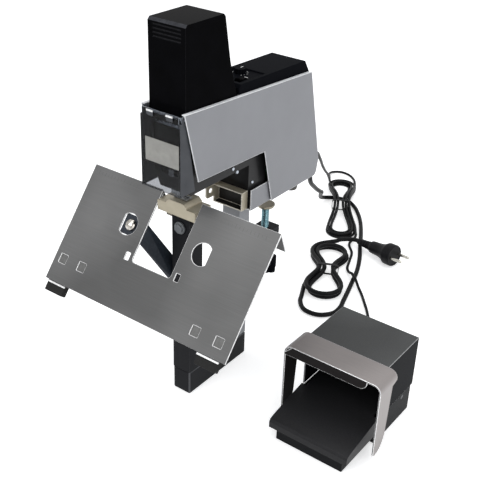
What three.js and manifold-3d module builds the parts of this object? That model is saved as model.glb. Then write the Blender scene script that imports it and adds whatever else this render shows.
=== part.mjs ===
// Electric saddle stapler with its foot pedal, mains lead and pedal lead.
// Millimetres, +Z up, the operator stands at -Y. The origin is on the floor, straight below the
// middle of the fold line, where the staple is driven. Upper pieces are placed in a group whose
// own origin is the middle of that fold line.
import * as THREE from 'three';
import Module from 'manifold-3d';
import { mergeVertices } from 'three/addons/utils/BufferGeometryUtils.js';

const wasm = await Module();
wasm.setup();

// Driving dimensions
const SEAT = 0.3; // gap left between touching pieces
const OVERRUN = 5; // how far a cutting tool runs past the wall it cuts
const FOLD_HEIGHT = 273; // fold line above the floor
const SHEET = 1.5; // folded sheet thickness

const FRAME_WIDTH = 26;
const COLUMN_FRONT = -4;
const COLUMN_DEPTH = 23.5;
const POST_FRONT = 90;
const POST_DEPTH = 22;
const BASE_HEIGHT = 33;

const TABLE_WIDTH = 270;
const TABLE_SLOPE_LENGTH = 148;
const TABLE_SLOPE = THREE.MathUtils.degToRad(51.2);
const FLANGE_LENGTH = 27.9;
const FLANGE_SLOPE = THREE.MathUtils.degToRad(67.7);
const NOTCH_WIDTH = 57;
const NOTCH_LENGTH = 90;

const HOUSING_WIDTH = 60.4;
const HOUSING_Y = [-32, 238];
const HOUSING_TOP = 113; // heights of the upper pieces are counted from the fold line
const TOWER_HEIGHT = 202.8;
const TOWER_WALL = 2.2;
const CHASSIS_BOTTOM = -47;

const CLAMP_Y = 165;
const CLAMP_SCREW_DIAMETER = 10;

const PEDAL_X = 190;
const PEDAL_WIDTH = 106;
const PEDAL_FRONT = -7;
const PEDAL_BACK = 147;
const PEDAL_HEIGHT = 108;

const MAINS_DIAMETER = 7;
const PEDAL_LEAD_DIAMETER = 4.4;

// What stands between the two side panels follows the housing's width.
const half = (value) => value / 2;
const PANEL_TO_TOWER = 3.7;
const PANEL_TO_CHASSIS = 1.7;
const CHASSIS_TO_ARM = 3.5;
const panelInner = half(HOUSING_WIDTH) - SHEET;
const TOWER_WIDTH = 2 * (panelInner - PANEL_TO_TOWER);
const CHASSIS_WIDTH = 2 * (panelInner - PANEL_TO_CHASSIS);
const ARM_WIDTH = CHASSIS_WIDTH - 2 * (SHEET + CHASSIS_TO_ARM);

// Materials
const finish = (color, roughness, metalness, extra = {}) =>
  new THREE.MeshStandardMaterial({ color, roughness, metalness, ...extra });
const brushedSteel = finish(0x9d9a97, 0.35, 1);
const nickel = finish(0xb8b0a0, 0.3, 1);
const zinc = finish(0x93a2ad, 0.4, 0.9);
const greyPaint = finish(0x9a9da1, 0.45, 0.1);
const blackPaint = finish(0x17181a, 0.45, 0.1);
const glossBlack = finish(0x0b0b0c, 0.12, 0);
const mattBlack = finish(0x1b1b1d, 0.7, 0);
const rubber = finish(0x111112, 0.85, 0);
const copper = finish(0xa8642f, 0.4, 0.8);
const boardGreen = finish(0x1f5a36, 0.6, 0);
const clearPlastic = finish(0xdfe6ea, 0.08, 0, { transparent: true, opacity: 0.3 });
const redPlastic = finish(0xa01c16, 0.3, 0);
const whitePlastic = finish(0xe6e4de, 0.4, 0);

// Solids and their joins and cuts
function toSolid(geometry) {
  const bare = geometry.index ? geometry.toNonIndexed() : geometry.clone();
  bare.deleteAttribute('normal');
  bare.deleteAttribute('uv');
  const merged = mergeVertices(bare, 1e-4);
  return new wasm.Manifold(new wasm.Mesh({
    numProp: 3,
    vertProperties: new Float32Array(merged.attributes.position.array),
    triVerts: new Uint32Array(merged.index.array),
  }));
}

function toGeometry(solid) {
  const mesh = solid.getMesh();
  const geometry = new THREE.BufferGeometry();
  geometry.setAttribute('position', new THREE.BufferAttribute(new Float32Array(mesh.vertProperties), 3));
  geometry.setIndex(new THREE.BufferAttribute(new Uint32Array(mesh.triVerts), 1));
  geometry.computeVertexNormals();
  return geometry;
}

function join(...geometries) {
  return toGeometry(geometries.map(toSolid).reduce((sum, next) => sum.add(next)));
}

function cut(geometry, ...tools) {
  return toGeometry(tools.map(toSolid).reduce((rest, tool) => rest.subtract(tool), toSolid(geometry)));
}

function block([x0, x1], [y0, y1], [z0, z1]) {
  return new THREE.BoxGeometry(x1 - x0, y1 - y0, z1 - z0)
    .translate(half(x0 + x1), half(y0 + y1), half(z0 + z1));
}

const mirrored = (reach) => [-reach, reach];
const bothSides = [-1, 1];
const sorted = (first, second) => [Math.min(first, second), Math.max(first, second)];

// A round bar from one point to another.
function bar(radius, from, to, sides = 24) {
  const start = new THREE.Vector3(...from);
  const end = new THREE.Vector3(...to);
  const run = end.clone().sub(start);
  const geometry = new THREE.CylinderGeometry(radius, radius, run.length(), sides);
  const turn = new THREE.Quaternion().setFromUnitVectors(new THREE.Vector3(0, 1, 0), run.normalize());
  return geometry.applyQuaternion(turn).translate(...start.add(end).multiplyScalar(0.5).toArray());
}

const outline = (points) => new THREE.Shape(points.map(([u, v]) => new THREE.Vector2(u, v)));

// Points given as shares of a box's two sides.
const inBox = (shares, [u0, u1], [v0, v1]) =>
  shares.map(([u, v]) => [u0 + (u1 - u0) * u, v0 + (v1 - v0) * v]);

// An outline in (Y, Z) carried from x0 to x1.
function sideways(shape, [x0, x1], curveSegments = 8) {
  const axes = new THREE.Matrix4().makeBasis(
    new THREE.Vector3(0, 1, 0), new THREE.Vector3(0, 0, 1), new THREE.Vector3(1, 0, 0));
  return new THREE.ExtrudeGeometry(shape, { depth: x1 - x0, bevelEnabled: false, curveSegments })
    .applyMatrix4(axes).translate(x0, 0, 0);
}

// An outline in (X, Z) carried from y0 to y1.
function lengthways(shape, [y0, y1], curveSegments = 8) {
  const axes = new THREE.Matrix4().makeBasis(
    new THREE.Vector3(1, 0, 0), new THREE.Vector3(0, 0, 1), new THREE.Vector3(0, -1, 0));
  return new THREE.ExtrudeGeometry(shape, { depth: y1 - y0, bevelEnabled: false, curveSegments })
    .applyMatrix4(axes).translate(0, y1, 0);
}

// An outline in (X, Y) carried from z0 to z1.
function upwards(shape, [z0, z1], curveSegments = 8) {
  return new THREE.ExtrudeGeometry(shape, { depth: z1 - z0, bevelEnabled: false, curveSegments })
    .translate(0, 0, z0);
}

function roundedRectangle([u0, u1], [v0, v1], radius) {
  const shape = new THREE.Shape();
  shape.moveTo(u0 + radius, v0);
  shape.lineTo(u1 - radius, v0);
  shape.absarc(u1 - radius, v0 + radius, radius, -Math.PI / 2, 0);
  shape.lineTo(u1, v1 - radius);
  shape.absarc(u1 - radius, v1 - radius, radius, 0, Math.PI / 2);
  shape.lineTo(u0 + radius, v1);
  shape.absarc(u0 + radius, v1 - radius, radius, Math.PI / 2, Math.PI);
  shape.lineTo(u0, v0 + radius);
  shape.absarc(u0 + radius, v0 + radius, radius, Math.PI, 1.5 * Math.PI);
  return shape;
}

// Equal rings of points joined one after another, with flat ends.
function loft(rings) {
  const sides = rings[0].length;
  const points = rings.flat(2);
  const triangles = [];
  for (let ring = 0; ring + 1 < rings.length; ring += 1) {
    for (let side = 0; side < sides; side += 1) {
      const a = ring * sides + side;
      const b = ring * sides + ((side + 1) % sides);
      triangles.push(a, b, b + sides, a, b + sides, a + sides);
    }
  }
  const last = (rings.length - 1) * sides;
  for (let side = 1; side + 1 < sides; side += 1) {
    triangles.push(0, side + 1, side, last, last + side, last + side + 1);
  }
  const geometry = new THREE.BufferGeometry();
  geometry.setAttribute('position', new THREE.BufferAttribute(new Float32Array(points), 3));
  geometry.setIndex(triangles);
  if (toSolid(geometry).volume() < 0) {
    throw new Error('a loft has its rings the wrong way round');
  }
  return geometry;
}

// A profile of [radius, height] pairs turned about a vertical line.
function turned(profile, [x, y], sides = 32) {
  return new THREE.LatheGeometry(profile.map(([r, h]) => new THREE.Vector2(r, h)), sides)
    .rotateX(Math.PI / 2).translate(x, y, 0);
}

const machine = new THREE.Group();
const head = new THREE.Group();
head.position.z = FOLD_HEIGHT;
machine.add(head);

function part(name, geometry, material, group = machine) {
  const mesh = new THREE.Mesh(geometry, material);
  mesh.name = name;
  group.add(mesh);
  return mesh;
}

// Foot bar, front column and rear post: the C-shaped stand
const POST_BACK = POST_FRONT + POST_DEPTH;
const COLUMN_BACK = COLUMN_FRONT + COLUMN_DEPTH;
const ANVIL_BOTTOM = -20;
const BASE_CORNER = 2;
const BOLT_RADIUS = 7.5;
const BOLT_HEAD = 5;
const BOLT_HEX_SHARE = 0.8;
const COLUMN_BOLT_Z = -38;
const frameX = mirrored(half(FRAME_WIDTH));

part('base_box', sideways(
  roundedRectangle([COLUMN_FRONT, POST_BACK], [0, BASE_HEIGHT], BASE_CORNER), frameX, 3), blackPaint);
part('rear_post', block(frameX, [POST_FRONT, POST_BACK],
  [BASE_HEIGHT + SEAT, FOLD_HEIGHT + CHASSIS_BOTTOM - SEAT]), greyPaint);
const boltAt = (out) => [0, COLUMN_FRONT - SEAT - out, COLUMN_BOLT_Z];
part('column_bolt', join(
  bar(BOLT_RADIUS, boltAt(0), boltAt(half(BOLT_HEAD)), 32),
  bar(BOLT_RADIUS * BOLT_HEX_SHARE, boltAt(half(half(BOLT_HEAD))), boltAt(BOLT_HEAD), 6)), zinc, head);

// Anvil: a plated cross bar with a raised middle and the hard clinching plate on it
const ANVIL_HALF_WIDTH = 27.5;
const ANVIL_FRONT = -12;
const ANVIL_BACK = 16;
const ANVIL_SHOULDER = -8;
const ANVIL_RISE_HALF = 15;
const CLINCH_THICKNESS = 2;
const CLINCH_HALF = [9, 5];
const CLINCH_GROOVE_RADIUS = 1.1;
const CLINCH_GROOVE_X = 4;
const clinchGroove = (side) => bar(CLINCH_GROOVE_RADIUS,
  [side * CLINCH_GROOVE_X, -half(CLINCH_HALF[1]), 0], [side * CLINCH_GROOVE_X, half(CLINCH_HALF[1]), 0], 10);
part('clinch_plate', cut(
  block(mirrored(CLINCH_HALF[0]), mirrored(CLINCH_HALF[1]), [-CLINCH_THICKNESS, 0]),
  ...bothSides.map(clinchGroove)), brushedSteel, head);

// Saddle table: one folded stainless sheet that hangs on two short pins beside the column
const slopeDown = new THREE.Vector2(-Math.cos(TABLE_SLOPE), -Math.sin(TABLE_SLOPE));
const flangeDown = new THREE.Vector2(Math.cos(FLANGE_SLOPE), -Math.sin(FLANGE_SLOPE));
const HINGE = flangeDown.clone().multiplyScalar(FLANGE_LENGTH);
const EAR_THICKNESS = 2;
const EAR_RADIUS = 7;
const EAR_TOP_SHARE = 0.2;
const EAR_ROOT_SHARE = 0.5;
const PIN_RADIUS = 3;
const PIN_CLEARANCE = 0.3;
const PIN_HEAD_RADIUS = 5;
const PIN_HEAD = 2.5;
const EAR_OUTER = half(NOTCH_WIDTH) + EAR_THICKNESS;
const D_HOLE_RADIUS = 13;
const D_HOLE_FLAT = 9;
const D_HOLE_X = 54.5;
const D_HOLE_DOWN = 52;
const SLOT_SIZE = [6, 9];
const SLOT_X = 37;
const SLOT_DOWN = 86;
const WINDOW = 11;
// Each window: its side, its middle from that end of the sheet, and from the sheet's lower edge.
const WINDOW_INSETS = [[-1, 13.5, 28.5], [-1, 43.6, 28.5], [1, 49.5, 18], [1, 17.6, 18]];
const NOTCH_CORNER = 4;

// The table's own axes: X across, distance down the slope, and away from its face.
const acrossTable = new THREE.Vector3(1, 0, 0);
const downTable = new THREE.Vector3(0, slopeDown.x, slopeDown.y);
const tableAxes = new THREE.Matrix4().makeBasis(
  acrossTable, downTable, new THREE.Vector3().crossVectors(acrossTable, downTable));

// Turns a shape drawn on the table into a cutter through it.
function throughTable(shape, curveSegments = 3) {
  return new THREE.ExtrudeGeometry(shape, { depth: 2 * OVERRUN, bevelEnabled: false, curveSegments })
    .translate(0, 0, -OVERRUN).applyMatrix4(tableAxes);
}

function dHole(side) {
  const turnOff = Math.acos(D_HOLE_FLAT / D_HOLE_RADIUS);
  const shape = new THREE.Shape();
  const middle = side > 0 ? 0 : Math.PI;
  shape.absarc(side * D_HOLE_X, D_HOLE_DOWN, D_HOLE_RADIUS, middle + turnOff, middle - turnOff + 2 * Math.PI);
  return throughTable(shape, 20);
}

function tableSheet() {
  const inward = (down, side) => new THREE.Vector2(-down.y * side, down.x * side).multiplyScalar(SHEET);
  const foot = slopeDown.clone().multiplyScalar(TABLE_SLOPE_LENGTH);
  const slopeIn = inward(slopeDown, 1);
  const flangeIn = inward(flangeDown, -1);
  const bend = (TABLE_SLOPE + FLANGE_SLOPE) / 2;
  const insideRidge = new THREE.Vector2(0, -SHEET / Math.cos(bend));
  const ring = [foot, new THREE.Vector2(0, 0), HINGE,
    HINGE.clone().add(flangeIn), insideRidge, foot.clone().add(slopeIn)];
  const sheet = sideways(new THREE.Shape(ring.reverse()), mirrored(half(TABLE_WIDTH)));
  const notchX = mirrored(half(NOTCH_WIDTH));
  const notch = throughTable(roundedRectangle(notchX, [-4 * OVERRUN, NOTCH_LENGTH], NOTCH_CORNER));
  const clearance = block(notchX, [-2 * OVERRUN, HINGE.x + OVERRUN], [HINGE.y - OVERRUN, OVERRUN]);
  const around = (middle, size) => [middle - half(size), middle + half(size)];
  const windows = WINDOW_INSETS.map(([side, inset, up]) => throughTable(roundedRectangle(
    around(side * (half(TABLE_WIDTH) - inset), WINDOW),
    around(TABLE_SLOPE_LENGTH - up, WINDOW), half(SHEET))));
  const slots = bothSides.map((side) => throughTable(roundedRectangle(
    around(side * SLOT_X, SLOT_SIZE[0]), around(SLOT_DOWN, SLOT_SIZE[1]), half(SHEET))));
  const pinRelief = bothSides.map((side) => bar(EAR_RADIUS + SHEET,
    [side * half(NOTCH_WIDTH), HINGE.x, HINGE.y],
    [side * (EAR_OUTER + PIN_HEAD + 2 * SHEET), HINGE.x, HINGE.y]));
  return cut(sheet, notch, clearance, dHole(-1), dHole(1), ...windows, ...slots, ...pinRelief);
}

// The ear folded in from each wing's rear flange, with the pin's hole.
function tableEar(side) {
  const inner = side * half(NOTCH_WIDTH);
  const across = side > 0 ? [inner, side * EAR_OUTER] : [side * EAR_OUTER, inner];
  const down = (share) => flangeDown.clone().multiplyScalar(FLANGE_LENGTH * share);
  const sideIn = new THREE.Vector2(-flangeDown.y, flangeDown.x).multiplyScalar(-EAR_RADIUS);
  const earTop = down(EAR_TOP_SHARE).addScaledVector(sideIn, EAR_ROOT_SHARE);
  const web = [down(EAR_TOP_SHARE), down(1), HINGE.clone().add(sideIn), earTop];
  const ear = join(
    sideways(new THREE.Shape(web.reverse()), across),
    bar(EAR_RADIUS, [across[0], HINGE.x, HINGE.y], [across[1], HINGE.x, HINGE.y]));
  return cut(ear, bar(PIN_RADIUS + PIN_CLEARANCE,
    [across[0] - OVERRUN, HINGE.x, HINGE.y], [across[1] + OVERRUN, HINGE.x, HINGE.y]));
}

part('saddle_table', join(tableSheet(), tableEar(-1), tableEar(1)), brushedSteel, head);

// Rubber edge stops under the table's two lower corners
const PAD_WIDTH = 28;
const PAD_THICKNESS = 8;
const PAD_UNDER = 10;
const PAD_BEYOND = 13;
const PAD_INSET = { left: 18, right: 23 };
for (const [word, side] of [['left', -1], ['right', 1]]) {
  const x = side * (half(TABLE_WIDTH) - PAD_INSET[word]);
  const shape = roundedRectangle([x - half(PAD_WIDTH), x + half(PAD_WIDTH)],
    [TABLE_SLOPE_LENGTH - PAD_UNDER, TABLE_SLOPE_LENGTH + PAD_BEYOND], SHEET);
  const settings = { depth: PAD_THICKNESS, bevelEnabled: false, curveSegments: 3 };
  const pad = new THREE.ExtrudeGeometry(shape, settings).translate(0, 0, SHEET + SEAT);
  part(`table_pad_${word}`, pad.applyMatrix4(tableAxes), rubber, head);
}

// The hinge rod goes through the column's top and through the two lugs under the anvil bar
const LUG_Y = [3, 18];
const LUG_BOTTOM = -33;
const LUG_INNER = half(FRAME_WIDTH) + SEAT;
const LUG_TAPER = 3;
const hingeBore = (radius, reach) => bar(radius, [-reach, HINGE.x, HINGE.y], [reach, HINGE.x, HINGE.y]);
const rodBore = hingeBore(PIN_RADIUS + PIN_CLEARANCE, ANVIL_HALF_WIDTH + OVERRUN);
part('front_column', cut(
  block(frameX, [COLUMN_FRONT, COLUMN_BACK], [BASE_HEIGHT + SEAT - FOLD_HEIGHT, ANVIL_BOTTOM - SEAT]),
  rodBore), blackPaint, head);
const hingeLugs = bothSides.map((side) => block(
  sorted(side * LUG_INNER, side * ANVIL_HALF_WIDTH), LUG_Y, [LUG_BOTTOM, ANVIL_BOTTOM + SHEET]));
part('anvil_head', cut(join(
  block(mirrored(ANVIL_HALF_WIDTH), [ANVIL_FRONT, ANVIL_BACK], [ANVIL_BOTTOM, ANVIL_SHOULDER]),
  lengthways(outline([
    [-ANVIL_RISE_HALF, ANVIL_SHOULDER - SHEET], [ANVIL_RISE_HALF, ANVIL_SHOULDER - SHEET],
    [ANVIL_RISE_HALF, ANVIL_SHOULDER + SHEET], [CLINCH_HALF[0] + SHEET, -CLINCH_THICKNESS - SEAT],
    [-CLINCH_HALF[0] - SHEET, -CLINCH_THICKNESS - SEAT], [-ANVIL_RISE_HALF, ANVIL_SHOULDER + SHEET],
  ]), [ANVIL_FRONT, ANVIL_BACK]), ...hingeLugs), rodBore), nickel, head);
part('table_hinge_rod', join(
  hingeBore(PIN_RADIUS, EAR_OUTER + SEAT + half(PIN_HEAD)),
  ...bothSides.map((side) => bar(PIN_HEAD_RADIUS, [side * (EAR_OUTER + SEAT), HINGE.x, HINGE.y],
    [side * (EAR_OUTER + SEAT + PIN_HEAD), HINGE.x, HINGE.y]))), zinc, head);

// The bent stay from the column's left side to the table, with its dome nut in the left D hole
const STAY_THICKNESS = 4;
const STAY_WIDTH = 24;
const STAY_PAD_HALF = 12;
const STAY_FOOT_Z = [-140, -112];
const DOME_RADIUS = 7;
const DOME_X = -51;
const DOME_DOWN = 52;
const stayGap = SHEET + SEAT;
function onTable(x, down, behind) {
  return [x, slopeDown.x * down + Math.sin(TABLE_SLOPE) * behind,
    slopeDown.y * down - Math.cos(TABLE_SLOPE) * behind];
}
function tableStay() {
  const face = -half(FRAME_WIDTH) - SEAT;
  const foot = block([face - STAY_THICKNESS, face], [COLUMN_FRONT, COLUMN_FRONT + STAY_WIDTH], STAY_FOOT_Z);
  const top = [DOME_X - STAY_PAD_HALF, DOME_X + STAY_PAD_HALF];
  const padRing = (behind) => [
    onTable(top[0], DOME_DOWN - STAY_PAD_HALF, behind), onTable(top[1], DOME_DOWN - STAY_PAD_HALF, behind),
    onTable(top[1], DOME_DOWN + STAY_PAD_HALF, behind), onTable(top[0], DOME_DOWN + STAY_PAD_HALF, behind)];
  const pad = loft([padRing(stayGap), padRing(stayGap + STAY_THICKNESS)]);
  const lower = [
    [face, COLUMN_FRONT, STAY_FOOT_Z[1]], [face, COLUMN_FRONT + STAY_WIDTH, STAY_FOOT_Z[1]],
    [face - STAY_THICKNESS, COLUMN_FRONT + STAY_WIDTH, STAY_FOOT_Z[1] - STAY_THICKNESS],
    [face - STAY_THICKNESS, COLUMN_FRONT, STAY_FOOT_Z[1] - STAY_THICKNESS]];
  const upper = [
    onTable(top[1], DOME_DOWN + STAY_PAD_HALF, stayGap), onTable(top[1], DOME_DOWN - STAY_PAD_HALF, stayGap),
    onTable(top[1] - STAY_THICKNESS, DOME_DOWN - STAY_PAD_HALF, stayGap + STAY_THICKNESS),
    onTable(top[1] - STAY_THICKNESS, DOME_DOWN + STAY_PAD_HALF, stayGap + STAY_THICKNESS)];
  return join(foot, pad, loft([lower, upper]));
}
part('table_stay', tableStay(), blackPaint, head);

const DOME_STEPS = 5;
const DOME_RISE_SHARE = 0.6;
function domeNut() {
  const profile = [[0, 0], [DOME_RADIUS, 0], [DOME_RADIUS, SHEET]];
  for (let step = 1; step <= DOME_STEPS; step += 1) {
    const angle = half(Math.PI) * (step / DOME_STEPS);
    const radius = step === DOME_STEPS ? 0 : DOME_RADIUS * Math.cos(angle);
    profile.push([radius, SHEET + DOME_RADIUS * DOME_RISE_SHARE * Math.sin(angle)]);
  }
  const dome = turned(profile, [0, 0], 20);
  const out = new THREE.Vector3(0, -Math.sin(TABLE_SLOPE), Math.cos(TABLE_SLOPE));
  const turn = new THREE.Quaternion().setFromUnitVectors(new THREE.Vector3(0, 0, 1), out);
  return dome.applyQuaternion(turn).translate(...onTable(DOME_X, DOME_DOWN, stayGap - SEAT));
}
part('stay_dome_nut', domeNut(), zinc, head);

// Housing: two folded side panels and a back plate
const PANEL_SHARES = [
  [0, 1], [0.084, 0.48], [0.539, 0.45], [0.611, 0], [0.972, 0], [0.987, 0.025], [1, 0.133], [0.886, 0.919]];
const BACK_SHARES = [[0.9856, 0], [1, 0.133], [0.8956, 0.8538]]; // foot, knee and top of the back plate
const FLANGE_END_SHARE = 0.987;
const TOP_FLANGE = 4.7;
const housingZ = [CHASSIS_BOTTOM, HOUSING_TOP];
const panel = inBox(PANEL_SHARES, HOUSING_Y, housingZ);
const flangeFront = panel[0];
const flangeBack = [0, 1].map((axis) =>
  THREE.MathUtils.lerp(flangeFront[axis], panel[panel.length - 1][axis], FLANGE_END_SHARE));
for (const [word, side] of [['left', -1], ['right', 1]]) {
  const outer = side * half(HOUSING_WIDTH);
  const flange = sideways(outline([
    [flangeFront[0] + half(SHEET), flangeFront[1] - SHEET], [flangeBack[0], flangeBack[1] - SHEET],
    flangeBack, flangeFront]), sorted(outer - side * TOP_FLANGE, outer));
  const wall = sideways(outline(panel), sorted(side * panelInner, outer));
  part(`housing_side_${word}`, join(wall, flange), greyPaint, head);
}
const MAINS_EXIT = [-8, -37]; // X and height where each lead leaves the back
const LEAD_EXIT = [12, -30];
const MAINS_GLAND_RADIUS = 6;
const LEAD_GLAND_RADIUS = 4;
const GLAND_OUT = 15;
const GLAND_IN = 5;
const BACK_WALL = 2.25; // measured level, along the lean of the plate
const [backFoot, backKnee, backTop] = inBox(BACK_SHARES, HOUSING_Y, housingZ);
function housingBack() {
  const inward = ([y, z]) => [y - BACK_WALL, z];
  const sheet = sideways(outline([
    backFoot, backKnee, backTop, inward(backTop), inward(backKnee), inward(backFoot)]),
  mirrored(panelInner - SEAT));
  const gland = (x, z, radius) => bar(radius, [x, backTop[0], z], [x, backKnee[0] + OVERRUN, z], 16);
  return cut(sheet,
    gland(...MAINS_EXIT, MAINS_GLAND_RADIUS + SEAT),
    gland(...LEAD_EXIT, LEAD_GLAND_RADIUS + SEAT));
}

part('housing_back', housingBack(), greyPaint, head);

// A tapered boot with a flange, pointing along +Y from the plate that it goes through. Its profile
// is given as [radius, distance out].
function strainRelief([x, y, z], radius, lead) {
  const flange = half(radius);
  const profile = [
    [0, -GLAND_IN], [radius, -GLAND_IN], [radius, 0], [radius + flange, 0], [radius + flange, half(flange)],
    [radius, flange], [lead + half(SHEET), GLAND_OUT], [0, GLAND_OUT]];
  return turned(profile, [0, 0], 20).rotateX(-Math.PI / 2).translate(x, y, z);
}
const GLAND_Y = backKnee[0] + SEAT;
part('mains_strain_relief', strainRelief([MAINS_EXIT[0], GLAND_Y, MAINS_EXIT[1]], MAINS_GLAND_RADIUS,
  half(MAINS_DIAMETER)), rubber, head);
part('lead_strain_relief', strainRelief([LEAD_EXIT[0], GLAND_Y, LEAD_EXIT[1]], LEAD_GLAND_RADIUS,
  half(PEDAL_LEAD_DIAMETER)), rubber, head);

// Chassis tray under the rear of the housing, seen through the notch of the side panel
const CHASSIS_Y = [94, 229];
const CHASSIS_TOP = -20;
const chassisX = mirrored(half(CHASSIS_WIDTH));
part('chassis_tray', cut(
  block(chassisX, CHASSIS_Y, [CHASSIS_BOTTOM, CHASSIS_TOP]),
  block(mirrored(half(CHASSIS_WIDTH) - SHEET), [CHASSIS_Y[0] - OVERRUN, CHASSIS_Y[1] - SHEET],
    [CHASSIS_BOTTOM + SHEET, CHASSIS_TOP + OVERRUN])), greyPaint, head);

// Cast arm: reaches from the chassis over the throat and holds the head
const ARM_TOP = 89.5;
const ARM_BOTTOM = 12;
const ARM_FRONT = -21;
const ARM_CHIN = 36;
const ARM_BACK = 128;
const POCKET_HALF = 11;
const POCKET_TOP = 52;
const POCKET_FRONT = -12;
const POCKET_BACK = 88;
const WINDOW_Z = [34, 50];
const DRIVER_SLOT = [8, 3];
const armX = mirrored(half(ARM_WIDTH));
const armFoot = CHASSIS_BOTTOM + SHEET + SEAT;
part('arm_frame', cut(
  sideways(outline([
    [ARM_FRONT, ARM_TOP], [ARM_FRONT, ARM_CHIN], [POCKET_FRONT, ARM_BOTTOM], [CHASSIS_Y[0], ARM_BOTTOM],
    [CHASSIS_Y[0], armFoot], [ARM_BACK, armFoot], [ARM_BACK, ARM_TOP]]), armX),
  block(mirrored(POCKET_HALF), [POCKET_FRONT, POCKET_BACK], [ARM_BOTTOM - OVERRUN, POCKET_TOP]),
  block(mirrored(DRIVER_SLOT[0]), mirrored(DRIVER_SLOT[1]), [POCKET_TOP - OVERRUN, ARM_TOP + OVERRUN]),
  block(mirrored(POCKET_HALF), [ARM_FRONT - OVERRUN, POCKET_FRONT + SHEET], WINDOW_Z)), blackPaint, head);

// Back stop at the rear of the throat: a plated tray, open to the front, with one drilled ear
const STOP_X = armX;
const STOP_DEPTH = 11.5;
const STOP_Y = [CHASSIS_Y[0] - SEAT - STOP_DEPTH, CHASSIS_Y[0] - SEAT];
const STOP_Z = [-45, -21];
const STOP_EAR_Y = 67;
const STOP_EAR_Z = [-37, -12];
const STOP_HOLE_RADIUS = 3;
const STOP_EAR_CORNER = 5;
const stopHoleAt = (x) =>
  [x, half(STOP_EAR_Y + STOP_Y[0]) + SHEET, half(STOP_Z[0] + STOP_Z[1]) + STOP_EAR_CORNER];
part('back_stop', cut(join(
  cut(block(STOP_X, STOP_Y, STOP_Z),
    block([STOP_X[0] + SHEET, STOP_X[1] - SHEET], [STOP_Y[0] - OVERRUN, STOP_Y[1] - SHEET],
      [STOP_Z[0] + SHEET, STOP_Z[1] - SHEET])),
  sideways(roundedRectangle([STOP_EAR_Y, STOP_Y[1]], STOP_EAR_Z, STOP_EAR_CORNER),
    [STOP_X[0], STOP_X[0] + SHEET])),
bar(STOP_HOLE_RADIUS, stopHoleAt(STOP_X[0] - OVERRUN), stopHoleAt(STOP_X[0] + OVERRUN), 16)), nickel, head);

// Staple head: nose, magazine channel, strip, pusher, driver and solenoid
const NOSE_HALF = 9;
const NOSE_BOTTOM = 5;
const NOSE_TOP = 33;
const NOSE_Y = [-9, 7.5];
const DRIVER_HALF = [6.2, 0.8];
const DRIVER_STROKE = 12;
const DRIVER_BOTTOM = 14;
part('head_nose', cut(
  lengthways(outline([
    [-NOSE_HALF, NOSE_TOP], [-NOSE_HALF, NOSE_BOTTOM + SHEET], [-NOSE_HALF + SHEET, NOSE_BOTTOM],
    [NOSE_HALF - SHEET, NOSE_BOTTOM], [NOSE_HALF, NOSE_BOTTOM + SHEET], [NOSE_HALF, NOSE_TOP]]), NOSE_Y),
  block(mirrored(DRIVER_HALF[0] + half(SHEET)), mirrored(DRIVER_HALF[1] + half(SHEET)),
    [NOSE_BOTTOM - OVERRUN, NOSE_TOP + OVERRUN])), brushedSteel, head);

const MAGAZINE_HALF = 8.5;
const MAGAZINE_Y = [NOSE_Y[1] + SEAT, POCKET_BACK - SEAT];
const MAGAZINE_Z = [13, 28];
part('magazine_channel', cut(
  block(mirrored(MAGAZINE_HALF), MAGAZINE_Y, MAGAZINE_Z),
  block(mirrored(MAGAZINE_HALF - SHEET), [MAGAZINE_Y[0] - OVERRUN, MAGAZINE_Y[1] - SHEET],
    [MAGAZINE_Z[0] + SHEET, MAGAZINE_Z[1] + OVERRUN])), brushedSteel, head);

const STRIP_HALF = 6.2;
const STRIP_LEG = 8;
const STRIP_LENGTH = 50;
const WIRE = 0.7;
const STRIP_BOTTOM = MAGAZINE_Z[0] + SHEET + SEAT;
const STRIP_START = MAGAZINE_Y[0] + SEAT;
part('staple_strip', cut(
  block(mirrored(STRIP_HALF), [STRIP_START, STRIP_START + STRIP_LENGTH],
    [STRIP_BOTTOM, STRIP_BOTTOM + STRIP_LEG]),
  block(mirrored(STRIP_HALF - WIRE), [STRIP_START - OVERRUN, STRIP_START + STRIP_LENGTH + OVERRUN],
    [STRIP_BOTTOM - OVERRUN, STRIP_BOTTOM + STRIP_LEG - WIRE])), zinc, head);
const PUSHER_LENGTH = 10;
const PUSHER_START = STRIP_START + STRIP_LENGTH + SEAT;
part('staple_pusher', block(mirrored(STRIP_HALF), [PUSHER_START, PUSHER_START + PUSHER_LENGTH],
  [STRIP_BOTTOM, STRIP_BOTTOM + STRIP_LEG + SHEET]), whitePlastic, head);

const PLUNGER_RADIUS = 8;
const PLUNGER_HEAD_RADIUS = 12;
const PLUNGER_HEAD = 2.5;
const PLUNGER_TO_TOWER = 2.25;
const PLUNGER_TO_ARM = 6.5; // left under the plunger at the end of its stroke
const PLUNGER_INTO_YOKE = 4;
const SPRING_LENGTH = 15.7;
const TOWER_TO_YOKE = 1.8;
const YOKE_TO_COIL = 0.5;
const YOKE_Y = [-20, 20];
const YOKE_WALL = 3;
const PLUNGER_TOP = TOWER_HEIGHT - TOWER_WALL - PLUNGER_TO_TOWER;
const PLUNGER_BOTTOM = ARM_TOP + DRIVER_STROKE + PLUNGER_TO_ARM;
const SPRING_TOP = PLUNGER_TOP - PLUNGER_HEAD - SEAT;
const SPRING_Z = [SPRING_TOP - SPRING_LENGTH, SPRING_TOP];
const YOKE_X = half(TOWER_WIDTH) - TOWER_WALL - TOWER_TO_YOKE;
const YOKE_BOTTOM = ARM_TOP + SEAT;
const YOKE_TOP = SPRING_Z[0] - SEAT;
const COIL_RADIUS = YOKE_X - YOKE_WALL - YOKE_TO_COIL;
const COIL_Z = [PLUNGER_BOTTOM + PLUNGER_INTO_YOKE, YOKE_TOP - YOKE_WALL - SEAT];
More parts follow.
